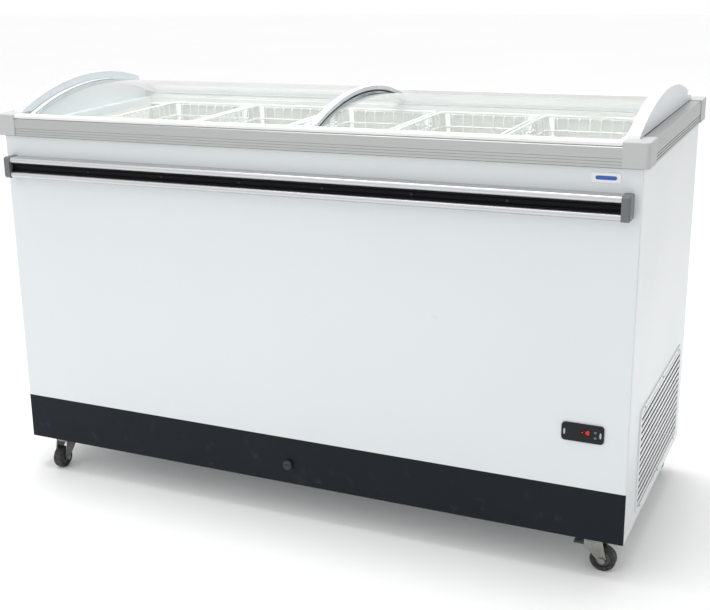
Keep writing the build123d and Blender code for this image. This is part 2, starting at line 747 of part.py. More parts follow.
def condenser():
    """Finned coil: upright fins on straight tubes between two end plates."""
    z0 = BASE_TOP
    z1 = z0 + CONDENSER_HEIGHT
    half = (FIN_COUNT - 1) * FIN_PITCH / 2
    plate_y = CONDENSER_DEPTH + 4

    def upright(x0, x1, reach, low, high):
        return block(x0, x1, CONDENSER_Y - reach, CONDENSER_Y + reach, low, high)

    coil = upright(MACHINE_X - half - 4, MACHINE_X - half - 2, plate_y, z0, z1)
    coil += upright(MACHINE_X + half + 2, MACHINE_X + half + 4, plate_y, z0, z1)
    for row in (-1, 1):
        for level in range(5):
            start = (MACHINE_X - half - 8, CONDENSER_Y + row * 11, z0 + 28 + level * 40)
            coil += rod(start, (1, 0, 0), TUBE_RADIUS, 2 * half + 16)
    for index in range(FIN_COUNT):
        x = MACHINE_X - half + index * FIN_PITCH
        coil += upright(x - FIN_THICKNESS / 2, x + FIN_THICKNESS / 2, CONDENSER_DEPTH, z0 + 6, z1 - 4)
    return coil


def fan_motor():
    """Shaded-pole motor on a bracket from the compartment floor."""
    y0 = FAN_Y + 22
    motor = rod((MACHINE_X, y0, FAN_Z), (0, 1, 0), MOTOR_RADIUS, MOTOR_LENGTH)
    motor = fillet(motor.faces().sort_by(Axis.Y)[-1].edges(), 6)
    shaft = rod((MACHINE_X, FAN_Y - 12, FAN_Z), (0, 1, 0), SHAFT_RADIUS, 36)
    post = block(MACHINE_X - 20, MACHINE_X + 20, y0 + 14, y0 + 18, BASE_TOP, FAN_Z)
    foot = block(MACHINE_X - 35, MACHINE_X + 35, y0 + 4, y0 + 30, BASE_TOP, BASE_TOP + 3)
    return motor + shaft + post + foot


def fan_blade():
    """Hub with pitched blades, running on the motor shaft."""
    hub = rod((MACHINE_X, FAN_Y - 10, FAN_Z), (0, 1, 0), 17, 20)
    blades = fillet(hub.faces().sort_by(Axis.Y)[0].edges(), 4)
    root = 12
    pitch_angle = 28
    for index in range(FAN_BLADES):
        blade = Box(42, 2, FAN_RADIUS - root)
        blade = fillet(blade.edges().filter_by(Axis.Y), 9)
        blade = Pos(0, 0, (FAN_RADIUS + root) / 2) * Rot(0, 0, pitch_angle) * blade
        blades += Pos(MACHINE_X, FAN_Y, FAN_Z) * Rot(0, 360 / FAN_BLADES * index, 0) * blade
    bore = rod((MACHINE_X, FAN_Y - 14, FAN_Z), (0, 1, 0), SHAFT_RADIUS + RUNNING_FIT, 40)
    return blades - bore


def power_gland():
    """Cable gland in the rear sheet of the machine compartment."""
    gland = rod((GLAND_X, REAR - 14, GLAND_Z), (0, 1, 0), GLAND_RADIUS - 0.05, 14)
    collar = rod((GLAND_X, REAR, GLAND_Z), (0, 1, 0), 12, 9)
    gland += chamfer(collar.faces().sort_by(Axis.Y)[-1].edges(), 2)
    gland += rod((GLAND_X, REAR - 6, GLAND_Z), (0, 1, 0), 11, 6 - SHEET)
    return gland - rod((GLAND_X, REAR - 20, GLAND_Z), (0, 1, 0), CORD_RADIUS, 40)


# Baskets


def basket(x):
    """Tapered open basket that hangs by its rim on the two track ledges."""
    y0 = FRONT + TRACK_WALL[1] + 2
    y1 = REAR - TRACK_WALL[1] - 2
    top = LEDGE_TOP + SEAM + BASKET_RIM
    inner_y0 = FRONT + LEDGE_END + 2
    inner_y1 = REAR - LEDGE_END - 2
    half = BASKET_WIDTH / 2
    rim = block(x - half, x + half, y0, y1, LEDGE_TOP + SEAM, top)
    depth = top - BASKET_BOTTOM
    plane = Plane(origin=(x, MID_Y, top), z_dir=(0, 0, -1))
    outer = Rectangle(2 * half - 12, inner_y1 - inner_y0)
    inner = Rectangle(2 * half - 12 - 2 * BASKET_WALL, inner_y1 - inner_y0 - 2 * BASKET_WALL)
    bowl = extrude(plane * outer, amount=depth, taper=BASKET_TAPER)
    hollow = extrude(plane * inner, amount=depth - BASKET_WALL, taper=BASKET_TAPER)
    return (rim + bowl) - hollow


# Casters


def caster_plate(x, y):
    """Top plate, upper race and kingpin of one caster."""
    plate = block(x - 30, x + 30, y - 30, y + 30, BASE_BOTTOM - 3, BASE_BOTTOM)
    plate = fillet(upright_edges(plate), 6)
    plate += rod((x, y, 70), (0, 0, 1), 19, BASE_BOTTOM - 3 - 70)
    plate += rod((x, y, 60), (0, 0, 1), KINGPIN_RADIUS, 12)
    return plate + rod((x, y, 57), (0, 0, 1), 8.5, 4.5)


def fork_leg(offset):
    """One side plate of the fork, from the race down to the axle."""
    outline = [(-17, 66), (17, 66), (CASTER_TRAIL + 8, 30), (CASTER_TRAIL + 6, 19),
               (CASTER_TRAIL - 6, 19), (CASTER_TRAIL - 10, 27), (-17, 50)]
    leg = bar_along_y(outline, offset, offset + FORK_THICKNESS)
    leg = fillet(leg.edges().filter_by(Axis.Y).group_by(Axis.Z)[0], 5)
    return leg - rod((CASTER_TRAIL, offset - 1, WHEEL_RADIUS), (0, 1, 0), AXLE_RADIUS + RUNNING_FIT, 5)


def caster_fork(braked):
    """Zinc-plated fork with its riveted axle, pointing along +X."""
    gap = WHEEL_WIDTH / 2 + FORK_GAP
    reach = gap + FORK_THICKNESS
    cup = rod((0, 0, 62.5), (0, 0, 1), 21, 7)
    cup = fillet(cup.faces().sort_by(Axis.Z)[0].edges(), 2)
    fork = cup + fork_leg(gap) + fork_leg(-reach)
    if braked:
        pin_x, pin_z = PEDAL_PIN
        fork += rod((pin_x, -reach, pin_z), (0, 1, 0), PEDAL_PIN_RADIUS, 2 * reach)
    fork -= rod((0, 0, 50), (0, 0, 1), KINGPIN_RADIUS + RUNNING_FIT, 30)
    axle = rod((CASTER_TRAIL, -reach - 2, WHEEL_RADIUS), (0, 1, 0), AXLE_RADIUS, 2 * reach + 4)
    for start in (-reach - 3, reach + 0.4):
        axle += rod((CASTER_TRAIL, start, WHEEL_RADIUS), (0, 1, 0), AXLE_RADIUS + 2, 2.6)
    return fork, axle


def caster_wheel():
    """Rubber wheel with a dished hub and a bored centre."""
    half = WHEEL_WIDTH / 2
    wheel = rod((CASTER_TRAIL, -half, WHEEL_RADIUS), (0, 1, 0), WHEEL_RADIUS, WHEEL_WIDTH)
    wheel = fillet(wheel.edges(), 4)
    for side in (-1, 1):
        start = (CASTER_TRAIL, side * half, WHEEL_RADIUS)
        wheel -= rod(start, (0, -side, 0), 16, 3) - rod(start, (0, -side, 0), 8, 3)
    start = (CASTER_TRAIL, -half - 1, WHEEL_RADIUS)
    return wheel - rod(start, (0, 1, 0), AXLE_RADIUS + RUNNING_FIT, WHEEL_WIDTH + 2)


def brake_pedal():
    """Foot pedal on the leading side of a braked caster."""
    half = WHEEL_WIDTH / 2 + 1.2
    pin_x, pin_z = PEDAL_PIN
    tab = bar_along_y([(pin_x - 4, pin_z - 4), (pin_x + 4, pin_z - 4), (pin_x + 4, pin_z + 4),
                       (pin_x - 4, pin_z + 4), (pin_x - 24, pin_z + 1), (pin_x - 25, pin_z - 3)],
                      -half, half)
    return tab - rod((pin_x, -half - 1, pin_z), (0, 1, 0), PEDAL_PIN_RADIUS + RUNNING_FIT, 2 * half + 2)


# Heading of each caster about Z: the way its axle trails behind the kingpin
CASTERS = {
    "front_left": (-1, -1, -90, True),
    "front_right": (1, -1, 0, True),
    "rear_left": (-1, 1, 75, False),
    "rear_right": (1, 1, 20, False),
}


def write_casters():
    plates = []
    for name, (sx, sy, heading, braked) in CASTERS.items():
        x = sx * CASTER_SPREAD_X
        y = MID_Y + sy * (CABINET_DEPTH / 2 - CASTER_INSET_Y)
        plates.append(caster_plate(x, y))
        place = Pos(x, y, 0) * Rot(0, 0, heading)
        fork, axle = caster_fork(braked)
        write(f"caster_fork_{name}", place * fork, place * axle)
        write(f"caster_wheel_{name}", place * caster_wheel())
        if braked:
            write(f"brake_pedal_{name}", place * brake_pedal())
    write("caster_plates", *plates)


write("front_panel", front_panel())
write("left_side_panel", side_panel(-1))
write("right_side_panel", right_side_panel())
write("rear_panel", rear_panel())
write("base_tray", base_tray())
write("kick_plate", kick_plate())
write("side_grille", side_grille())
write("foam_insulation", foam_insulation())
write("evaporator_tube", evaporator_tube())
write("liner_walls", *liner_walls())
write("liner_floor", liner_floor(), liner_step())
write("drain_tube", drain_tube())
write("drain_plug", drain_plug())

write("frame_front_rail", end_rail(True, FRONT_RAIL_TOP))
write("frame_rear_rail", end_rail(False, FRONT_RAIL_TOP))
write("frame_left_rail", side_rail(-1))
write("frame_right_rail", side_rail(1))
write("corner_caps", *[corner_cap(side, rear) for side in (-1, 1) for rear in (False, True)])
write("front_lid_track", lid_track())
write("rear_lid_track", mirrored_to_rear(lid_track()))
write("left_arch", end_arch(-1))
write("right_arch", end_arch(1))

upper = lid(-LID_END, LEFT_LID_STOP, LID_RADIUS, OUTER_RUNNER, OUTER_FOOT, -1)
lower = lid(MIDDLE_STILE_START, LID_END, LID_RADIUS - LID_STEP, INNER_RUNNER, INNER_FOOT, 1)
for side, (glass, runners, stiles) in (("left", upper), ("right", lower)):
    write(f"{side}_lid_glass", glass)
    write(f"{side}_lid_runners", *runners)
    write(f"{side}_lid_stiles", *stiles)
write("left_lid_grip", lid_grip(MIDDLE_STILE_START, LEFT_LID_STOP))

write("bumper_rail", bumper_rail())
write("bumper_insert", bumper_insert())
write("bumper_screws", *bumper_screws())
write("bumper_end_caps", bumper_end_cap(-1), bumper_end_cap(1))
write("name_badge", name_badge())
write("controller_body", controller_body())
write("controller_window", controller_window())
write("controller_set_key", controller_key(KEY_PLACES[0]))
write("controller_power_key", controller_key(KEY_PLACES[1]))
write("controller_screw_caps", *controller_screw_caps())

write("compressor", compressor())
write("condenser", condenser())
write("fan_motor", fan_motor())
write("fan_blade", fan_blade())
write("power_gland", power_gland())

for number in range(BASKET_COUNT):
    write(f"basket_{number + 1}", basket(BASKET_FIRST + number * BASKET_PITCH))

write_casters()
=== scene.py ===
import json
import math

import bmesh
import bpy
from mathutils import Matrix, Vector


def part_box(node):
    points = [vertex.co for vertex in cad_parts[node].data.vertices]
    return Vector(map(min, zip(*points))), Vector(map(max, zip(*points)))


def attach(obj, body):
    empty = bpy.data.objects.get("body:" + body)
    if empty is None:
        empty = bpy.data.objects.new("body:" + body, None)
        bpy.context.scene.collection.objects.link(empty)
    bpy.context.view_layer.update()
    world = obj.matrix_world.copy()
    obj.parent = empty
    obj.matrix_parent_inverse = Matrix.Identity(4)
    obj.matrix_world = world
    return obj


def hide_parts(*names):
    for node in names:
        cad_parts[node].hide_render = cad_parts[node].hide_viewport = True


bl_info = {
    "name": "Chest Freezer Maker",
    "version": (1, 0, 0),
    "blender": (4, 5, 0),
    "location": "3D View > Sidebar > Freezer",
    "description": "Finishes and fits out a glass-lid chest freezer around its engineering model",
    "category": "Object",
}

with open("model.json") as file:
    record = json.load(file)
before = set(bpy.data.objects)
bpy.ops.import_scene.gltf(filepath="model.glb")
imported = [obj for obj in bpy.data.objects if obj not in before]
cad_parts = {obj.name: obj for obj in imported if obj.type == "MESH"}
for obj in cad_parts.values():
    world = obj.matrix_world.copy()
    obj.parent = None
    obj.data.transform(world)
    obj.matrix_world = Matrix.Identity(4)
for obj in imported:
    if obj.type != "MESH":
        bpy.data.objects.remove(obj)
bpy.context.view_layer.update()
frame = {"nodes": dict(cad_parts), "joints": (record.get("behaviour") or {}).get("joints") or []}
NODES = frame["nodes"]
JOINTS = {joint["name"]: joint for joint in frame["joints"]}

MM = 0.001
X_AXIS = Vector((1, 0, 0))
Y_AXIS = Vector((0, 1, 0))
Z_AXIS = Vector((0, 0, 1))
CORNERS = ("front_left", "front_right", "rear_left", "rear_right")
SIDES = ("left", "right")
BASKETS = tuple(sorted(node for node in NODES if node.startswith("basket_")))
FINISHES = {}


# Settings a user may change


def length(name, description, millimetres):
    """A distance setting, given in millimetres."""
    return bpy.props.FloatProperty(
        name=name,
        description=description,
        default=millimetres * MM,
        min=0,
        subtype="DISTANCE",
        unit="LENGTH",
    )


def colour(name, description, red, green, blue):
    """A colour setting."""
    return bpy.props.FloatVectorProperty(
        name=name,
        description=description,
        default=(red, green, blue),
        min=0,
        max=1,
        size=3,
        subtype="COLOR",
    )


def angle(name, description, degrees):
    """An angle setting, given in degrees."""
    return bpy.props.FloatProperty(
        name=name,
        description=description,
        default=math.radians(degrees),
        subtype="ANGLE",
        unit="ROTATION",
    )


def number(name, description, value):
    """A plain number setting."""
    return bpy.props.FloatProperty(name=name, description=description, default=value, min=0)


class FreezerSizes(bpy.types.PropertyGroup):
    """Sizes of the small fittings and of the wire baskets."""

    rim_wire: length("Rim wire", "Radius of the wire round the top of a basket", 2.6)
    band_wire: length("Band wire", "Radius of the stiffening wire under the rim", 2.2)
    grid_wire: length("Grid wire", "Radius of the wires of the grid", 1.1)
    grid_pitch: length("Grid pitch", "Distance between neighbouring wires of the grid", 24)
    post_width: length("Post width", "Width of the flat strips at the basket corners", 11)
    basket_taper: length("Basket taper", "How far each basket wall leans in from top to bottom", 21)
    lid_radius: length("Lid radius", "Outer radius of the upper lid's curve", 700)
    lid_thickness: length("Lid thickness", "Thickness of the lid frames", 9)
    seal_height: length("Seal height", "Height of the rubber strips at the outer ends of the lids", 8)
    brush_height: length("Brush height", "Height of the brush between the two lids", 4)
    seal_width: length("Seal width", "Width of the black beads beside the end mouldings", 1.8)
    # The bead under the top frame is partly a gasket and partly painted shade: a black line where the rails
    # cast their shadow.
    shadow_bead_radius: length("Gasket radius", "Radius of the bead under the top frame", 1.3)
    digit_height: length("Digit height", "Height of the figures in the display", 7)
    screw_radius: length("Screw radius", "Radius of the small panel screws", 3)
    pipe_radius: length("Pipe radius", "Radius of the copper refrigerant pipes", 3.2)


class FreezerColours(bpy.types.PropertyGroup):
    """Colours of the finishes."""

    paint: colour("Paint", "Powder coat of the cabinet", 0.675, 0.71, 0.72)
    kick: colour("Kick plate", "Powder coat of the kick plate", 0.010, 0.014, 0.019)
    moulding: colour("Moulding", "White plastic of the arches and lids", 0.70, 0.745, 0.775)
    cap: colour("Corner cap", "Grey plastic of the frame corners", 0.46, 0.475, 0.47)
    track: colour("Lid track", "Plastic of the lid tracks", 0.74, 0.75, 0.73)
    extrusion: colour("Extrusion", "Anodised aluminium of the frame", 0.47, 0.475, 0.475)
    liner: colour("Liner", "Painted sheet inside the cavity", 0.89, 0.895, 0.865)
    glass: colour("Glass", "Tint of the lid glass", 0.965, 0.985, 0.972)
    coating: colour("Basket coating", "Plastic coating of the basket wire", 0.84, 0.86, 0.84)
    badge: colour("Badge", "Colour bar on the badge", 0.03, 0.10, 0.42)
    lamp: colour("Display", "Light of the display figures", 1.0, 0.06, 0.03)
    zinc: colour("Zinc", "Bright zinc plating", 0.30, 0.305, 0.285)


class FreezerStage(bpy.types.PropertyGroup):
    """The view and the studio light."""

    turn: angle("Turn", "How far the camera looks towards the left-hand end", 28.27)
    dip: angle("Dip", "How far the camera looks down", 16.87)
    lean: angle("Lean", "How far the camera is rolled", -2.11)
    stand_x: length("Camera X", "Where the camera stands along the front", 1087.7)
    stand_back: length("Camera distance", "How far the camera stands in front of the middle", 2445.6)
    stand_z: length("Camera height", "Height of the camera", 1216.8)
    lens: number("Lens", "Focal length in millimetres", 62.9)
    shift: number("Shift", "Sideways shift of the lens", 0.141)
    key_power: number("Key", "Power of the light in front", 12)
    top_power: number("Top", "Power of the light overhead", 70)
    sky: number("Surround", "Brightness all round", 1.0)


# Finishes


class Finish:
    """One material: a Principled shader with tone, roughness and relief made from nodes."""

    def __init__(self, name, base, roughness, metallic=0.0):
        self.material = bpy.data.materials.new(name)
        self.material.use_nodes = True
        self.tree = self.material.node_tree
        self.shader = next(n for n in self.tree.nodes if n.type == "BSDF_PRINCIPLED")
        self.base = (*base, 1.0)
        self.tone_from = None
        self.relief_from = None
        self.shader.inputs["Base Color"].default_value = self.base
        self.shader.inputs["Roughness"].default_value = roughness
        self.shader.inputs["Metallic"].default_value = metallic
        self.place = self.add("ShaderNodeTexCoord").outputs["Object"]
        self.material.diffuse_color = self.base

    def add(self, kind, **settings):
        """A new shader node, with its settings."""
        node = self.tree.nodes.new(kind)
        for key, value in settings.items():
            setattr(node, key, value)
        return node

    def link(self, source, target):
        self.tree.links.new(source, target)

    def stretched(self, stretch):
        """The place on the surface, scaled along each axis."""
        mapping = self.add("ShaderNodeMapping")
        mapping.inputs["Scale"].default_value = stretch
        self.link(self.place, mapping.inputs["Vector"])
        return mapping.outputs[0]

    def noise(self, scale, detail, stretch=(1, 1, 1)):
        """Soft random pattern, with about scale features to the metre."""
        node = self.add("ShaderNodeTexNoise")
        node.inputs["Scale"].default_value = scale
        node.inputs["Detail"].default_value = detail
        self.link(self.stretched(stretch), node.inputs["Vector"])
        return node.outputs[0]

    def cells(self, scale, output="Distance"):
        """Cell pattern, with about scale cells to the metre."""
        node = self.add("ShaderNodeTexVoronoi")
        node.inputs["Scale"].default_value = scale
        self.link(self.stretched((1, 1, 1)), node.inputs["Vector"])
        return node.outputs[output]

    def height(self, low, high):
        """A factor that runs from 1 at the low height to 0 at the high one."""
        parts = self.add("ShaderNodeSeparateXYZ")
        self.link(self.place, parts.inputs[0])
        return self.ranged(parts.outputs["Z"], low, high, 1, 0)

    def ranged(self, source, from_low, from_high, to_low, to_high):
        """A value carried over from one range to another."""
        node = self.add("ShaderNodeMapRange")
        for key, value in zip((1, 2, 3, 4), (from_low, from_high, to_low, to_high)):
            node.inputs[key].default_value = value
        self.link(source, node.inputs[0])
        return node.outputs[0]

    def times(self, first, second):
        """The product of two patterns."""
        node = self.add("ShaderNodeMath", operation="MULTIPLY")
        self.link(first, node.inputs[0])
        self.link(second, node.inputs[1])
        return node.outputs[0]

    def edges(self, radius=1.2 * MM):
        """A factor that is 1 along sharp edges, where the finishes paint the colour lighter: a painted
        highlight, and on the dark coat and the plating also rubbed wear.
        """
        soft = self.add("ShaderNodeBevel", samples=4)
        soft.inputs["Radius"].default_value = radius
        hard = self.add("ShaderNodeNewGeometry")
        dot = self.add("ShaderNodeVectorMath", operation="DOT_PRODUCT")
        self.link(soft.outputs[0], dot.inputs[0])
        self.link(hard.outputs["Normal"], dot.inputs[1])
        return self.ranged(dot.outputs["Value"], 0.97, 0.80, 0, 1)

    def tint(self, factor, other, amount=1.0):
        """Blend the colour towards another one where the factor is high."""
        node = self.add("ShaderNodeMix", data_type="RGBA")
        self.link(self.ranged(factor, 0, 1, 0, amount), node.inputs[0])
        if self.tone_from is None:
            node.inputs[6].default_value = self.base
        else:
            self.link(self.tone_from, node.inputs[6])
        node.inputs[7].default_value = (*other, 1.0)
        self.tone_from = node.outputs[2]
        return self

    def drift(self, scale, amount, detail=2.0):
        """A slow change of tone over the surface."""
        darker = tuple(channel * (1 - amount) for channel in self.base[:3])
        return self.tint(self.ranged(self.noise(scale, detail), 0.3, 0.7, 0, 1), darker)

    def matting(self, source, smooth, rough):
        """Roughness that follows a pattern."""
        self.link(self.ranged(source, 0.3, 0.7, smooth, rough), self.shader.inputs["Roughness"])
        return self

    def relief(self, source, depth, strength):
        """Bumps of a real depth, in metres."""
        node = self.add("ShaderNodeBump")
        node.inputs["Strength"].default_value = strength
        node.inputs["Distance"].default_value = depth
        self.link(source, node.inputs["Height"])
        if self.relief_from is not None:
            self.link(self.relief_from, node.inputs["Normal"])
        self.relief_from = node.outputs[0]
        return self

    def done(self):
        """Join the tone and the relief to the shader, and hand over the material."""
        if self.tone_from is not None:
            self.link(self.tone_from, self.shader.inputs["Base Color"])
        if self.relief_from is not None:
            self.link(self.relief_from, self.shader.inputs["Normal"])
        return self.material


def dimmed(base, share):
    """A colour with its brightness multiplied by a share."""
    return tuple(channel * share for channel in base)


def powder_coat(name, base):
    """Powder coat on steel sheet: orange-peel skin, faint drift of tone, darker in cloudy patches towards the
    bottom.
    """
    finish = Finish(name, base, 0.3)
    finish.shader.inputs["Coat Weight"].default_value = 0.15
    finish.shader.inputs["Coat Roughness"].default_value = 0.12
    finish.drift(1.7, 0.025)
    cloud = finish.ranged(finish.noise(9, 5), 0.4, 0.75, 0, 1)
    # Darker in cloudy patches towards the bottom.
    finish.tint(finish.times(finish.height(0.09, 0.3), cloud), dimmed(base, 0.86), 0.3)
    finish.relief(finish.noise(420, 2), 0.04 * MM, 0.4)
    return finish.matting(finish.noise(3, 3), 0.27, 0.33).done()


def textured_coat(name, base):
    """Fine-textured dark powder coat, with scuffs at shoe height and edges lightened by rubbed wear and a
    painted highlight.
    """
    finish = Finish(name, base, 0.42)
    finish.shader.inputs["Specular IOR Level"].default_value = 0.12
    finish.drift(3.5, 0.2)
    marks = finish.ranged(finish.noise(34, 7), 0.62, 0.8, 0, 1)
    finish.tint(finish.times(marks, finish.height(0.1, 0.2)), (0.09, 0.10, 0.11), 0.22)
    # Lighter along sharp edges: rubbed wear and a painted highlight.
    finish.tint(finish.edges(), (0.12, 0.13, 0.15), 0.4)
    finish.relief(finish.noise(1500, 2), 0.04 * MM, 0.5)
    return finish.matting(finish.noise(22, 6), 0.34, 0.5).done()


def anodised(name, base, grain, roughness=0.34):
    """Satin anodised aluminium, with die lines along the extrusion."""
    finish = Finish(name, base, roughness, 0.85)
    lines = finish.noise(9, 6, grain)
    finish.tint(finish.ranged(lines, 0.35, 0.65, 0, 1), dimmed(base, 0.9), 0.7)
    finish.drift(2.1, 0.05)
    # Lighter along sharp edges: a painted highlight.
    finish.tint(finish.edges(), dimmed(base, 1.25), 0.4)
    finish.relief(lines, 0.02 * MM, 0.35)
    return finish.matting(finish.noise(40, 4, grain), roughness - 0.06, roughness + 0.1).done()


def moulded(name, base, roughness=0.34, grain=900, depth=0.03, gleam=0.5):
    """Injection-moulded plastic with a fine spark-eroded grain."""
    finish = Finish(name, base, roughness)
    finish.shader.inputs["Specular IOR Level"].default_value = gleam
    finish.drift(5, 0.035)
    # Lighter along sharp edges: a painted highlight.
    finish.tint(finish.edges(), dimmed(base, 1.08), 0.3)
    finish.tint(finish.ranged(finish.noise(18, 5), 0.55, 0.8, 0, 1), dimmed(base, 0.9), 0.2)
    finish.relief(finish.noise(grain, 2), depth * MM, 0.4)
    return finish.matting(finish.noise(12, 4), roughness - 0.04, roughness + 0.06).done()


def galvanised(name, base):
    """Hot-dip zinc with its spangle."""
    finish = Finish(name, base, 0.4, 0.9)
    finish.tint(finish.ranged(finish.cells(90, output="Color"), 0, 1, 0, 1), dimmed(base, 0.72), 0.7)
    finish.relief(finish.noise(320, 3), 0.03 * MM, 0.4)
    return finish.matting(finish.cells(90, output="Color"), 0.3, 0.52).done()


def plated(name, base):
    """Bright zinc plating on pressed steel, dulled in patches and lightened at the edges by rubbing and a
    painted highlight.
    """
    finish = Finish(name, base, 0.3, 0.9)
    finish.drift(38, 0.25, 4)
    grime = finish.ranged(finish.noise(130, 8), 0.56, 0.74, 0, 1)
    finish.tint(grime, (0.13, 0.12, 0.10), 0.4)
    # Lighter along sharp edges: rubbed wear and a painted highlight.
    finish.tint(finish.edges(0.8 * MM), dimmed(base, 1.4), 0.5)
    finish.relief(finish.noise(700, 3), 0.02 * MM, 0.4)
    return finish.matting(finish.noise(90, 5), 0.24, 0.48).done()


def rubbery(name, base):
    """Hard black rubber, greyed by floor dust on the tread."""
    finish = Finish(name, base, 0.6)
    finish.tint(finish.ranged(finish.noise(150, 8), 0.5, 0.75, 0, 1), (0.12, 0.115, 0.105), 0.5)
    finish.relief(finish.noise(1100, 3), 0.06 * MM, 0.6)
    return finish.matting(finish.noise(70, 4), 0.5, 0.75).done()


def foamed(name, base):
    """Cut polyurethane foam with open cells."""
    finish = Finish(name, base, 0.9)
    finish.drift(8, 0.12)
    finish.relief(finish.cells(600), 0.4 * MM, 0.7)
    return finish.matting(finish.noise(300, 3), 0.8, 0.95).done()


def liner_sheet(name, base):
    """Embossed painted aluminium, with a faint veil of frost high on the walls."""
    finish = Finish(name, base, 0.36, 0.1)
    finish.drift(3, 0.05)
    frost = finish.ranged(finish.noise(42, 8, (1, 1, 0.5)), 0.5, 0.72, 0, 1)
    finish.tint(frost, (0.88, 0.90, 0.90), 0.4)
    finish.relief(finish.cells(260), 0.12 * MM, 0.35)
    return finish.matting(finish.noise(55, 6), 0.26, 0.48).done()


def frosted_tube(name, base):
    """Drawn aluminium tube, dull with handling."""
    finish = Finish(name, base, 0.38, 0.9)
    finish.drift(60, 0.2, 5)
    finish.relief(finish.noise(900, 3), 0.02 * MM, 0.5)
    return finish.matting(finish.noise(45, 4), 0.3, 0.5).done()


def copper(name):
    """Drawn copper pipe, browned near the brazed joints."""
    finish = Finish(name, (0.72, 0.36, 0.22), 0.28, 1.0)
    finish.tint(finish.ranged(finish.noise(28, 6), 0.45, 0.7, 0, 1), (0.24, 0.10, 0.06), 0.7)
    finish.relief(finish.noise(800, 2), 0.02 * MM, 0.4)
    return finish.matting(finish.noise(60, 4), 0.2, 0.42).done()


def float_glass(name, tint):
    """Curved tempered pane: clear, with the light roll of bent glass and a few finger smears."""
    finish = Finish(name, tint, 0.012)
    finish.shader.inputs["IOR"].default_value = 1.5
    finish.shader.inputs["Transmission Weight"].default_value = 1.0
    finish.relief(finish.noise(5, 1), 0.4 * MM, 0.08)
    smears = finish.ranged(finish.noise(16, 7, (1, 2, 1)), 0.52, 0.75, 0.0, 0.09)
    finish.link(smears, finish.shader.inputs["Roughness"])
    material = finish.done()
    clear = finish.add("ShaderNodeBsdfTransparent")
    clear.inputs[0].default_value = (*tint, 1)
    ray = finish.add("ShaderNodeLightPath")
    mix = finish.add("ShaderNodeMixShader")
    out = next(n for n in finish.tree.nodes if n.type == "OUTPUT_MATERIAL")
    finish.link(ray.outputs["Is Shadow Ray"], mix.inputs[0])
    finish.link(finish.shader.outputs[0], mix.inputs[1])
    finish.link(clear.outputs[0], mix.inputs[2])
    finish.link(mix.outputs[0], out.inputs["Surface"])
    return material


def glowing(name, light):
    """Lit figures behind the display window."""
    finish = Finish(name, light, 0.4)
    finish.shader.inputs["Emission Color"].default_value = (*light, 1)
    finish.shader.inputs["Emission Strength"].default_value = 0.55
    finish.relief(finish.noise(2000, 1), 0.01 * MM, 0.3)
    return finish.matting(finish.noise(300, 2), 0.3, 0.5).done()


def finish_library(colours):
    """Every finish by its name, made once."""
    if "white_paint" in FINISHES:
        return FINISHES
    FINISHES.update(
        white_paint=powder_coat("white_paint", colours.paint),
        grille_paint=powder_coat("grille_paint", colours.paint),
        kick_paint=textured_coat("kick_paint", colours.kick),
        zinc_sheet=galvanised("zinc_sheet", (0.62, 0.63, 0.64)),
        insulation_foam=foamed("insulation_foam", (0.80, 0.68, 0.42)),
        liner_sheet=liner_sheet("liner_sheet", colours.liner),
        cooling_tube=frosted_tube("cooling_tube", (0.62, 0.62, 0.62)),
        frame_aluminium=anodised("frame_aluminium", colours.extrusion, (0.3, 90, 90)),
        # The side rails get the frame aluminium dimmed to 0.86: painted shade, a darker copy of the same
        # metal.
        side_aluminium=anodised("side_aluminium", dimmed(colours.extrusion, 0.86), (90, 0.3, 90)),
        white_moulding=moulded("white_moulding", colours.moulding, 0.3),
        lid_moulding=moulded("lid_moulding", colours.moulding, 0.28),
        cap_moulding=moulded("cap_moulding", colours.cap, 0.44, 700, 0.05),
        track_moulding=moulded("track_moulding", colours.track, 0.36),
        lid_glass=float_glass("lid_glass", colours.glass),
        bumper_aluminium=anodised("bumper_aluminium", (0.56, 0.565, 0.58), (0.3, 120, 120), 0.24),
        bumper_strip=moulded("bumper_strip", (0.003, 0.003, 0.004), 0.5, 1100, 0.04, 0.12),
        bumper_cap_plastic=moulded("bumper_cap_plastic", (0.13, 0.135, 0.145), 0.22, 800, 0.03),
        screw_steel=plated("screw_steel", (0.50, 0.50, 0.50)),
        black_screw=plated("black_screw", (0.035, 0.035, 0.037)),
        badge_plate=moulded("badge_plate", (0.80, 0.82, 0.84), 0.25),
        badge_bar=moulded("badge_bar", colours.badge, 0.22),
        controller_plastic=moulded("controller_plastic", (0.006, 0.007, 0.010), 0.3, 900, 0.015, 0.25),
        display_window=moulded("display_window", (0.018, 0.003, 0.004), 0.1, 300, 0.004, 0.2),
        display_light=glowing("display_light", colours.lamp),
        key_plastic=moulded("key_plastic", (0.16, 0.16, 0.17), 0.34),
        screw_cap_plastic=moulded("screw_cap_plastic", (0.42, 0.43, 0.44), 0.34),
        black_plastic=moulded("black_plastic", (0.016, 0.016, 0.018), 0.4, 800, 0.05),
        drain_plastic=moulded("drain_plastic", (0.66, 0.67, 0.66), 0.4),
        compressor_paint=textured_coat("compressor_paint", (0.012, 0.012, 0.013)),
        coil_aluminium=frosted_tube("coil_aluminium", (0.58, 0.58, 0.57)),
        basket_coating=moulded("basket_coating", colours.coating, 0.26, 500, 0.03),
        zinc_plate=plated("zinc_plate", colours.zinc),
        wheel_rubber=rubbery("wheel_rubber", (0.014, 0.014, 0.014)),
        seal_rubber=rubbery("seal_rubber", (0.010, 0.010, 0.011)),
        hub_plastic=moulded("hub_plastic", (0.055, 0.055, 0.058), 0.42),
        pipe_copper=copper("pipe_copper"),
    )
    return FINISHES


# Mesh building


def dress(node, finish, smooth_edge=0.0):
    """Give an engineering node its finish, and break its sharp edges by a small radius."""
    piece = NODES[node]
    piece.data.materials.clear()
    piece.data.materials.append(FINISHES[finish])
    if smooth_edge:
        weld = piece.modifiers.new("weld", "WELD")
        weld.merge_threshold = 0.01 * MM
        break_edges(piece, smooth_edge, sharp=40)


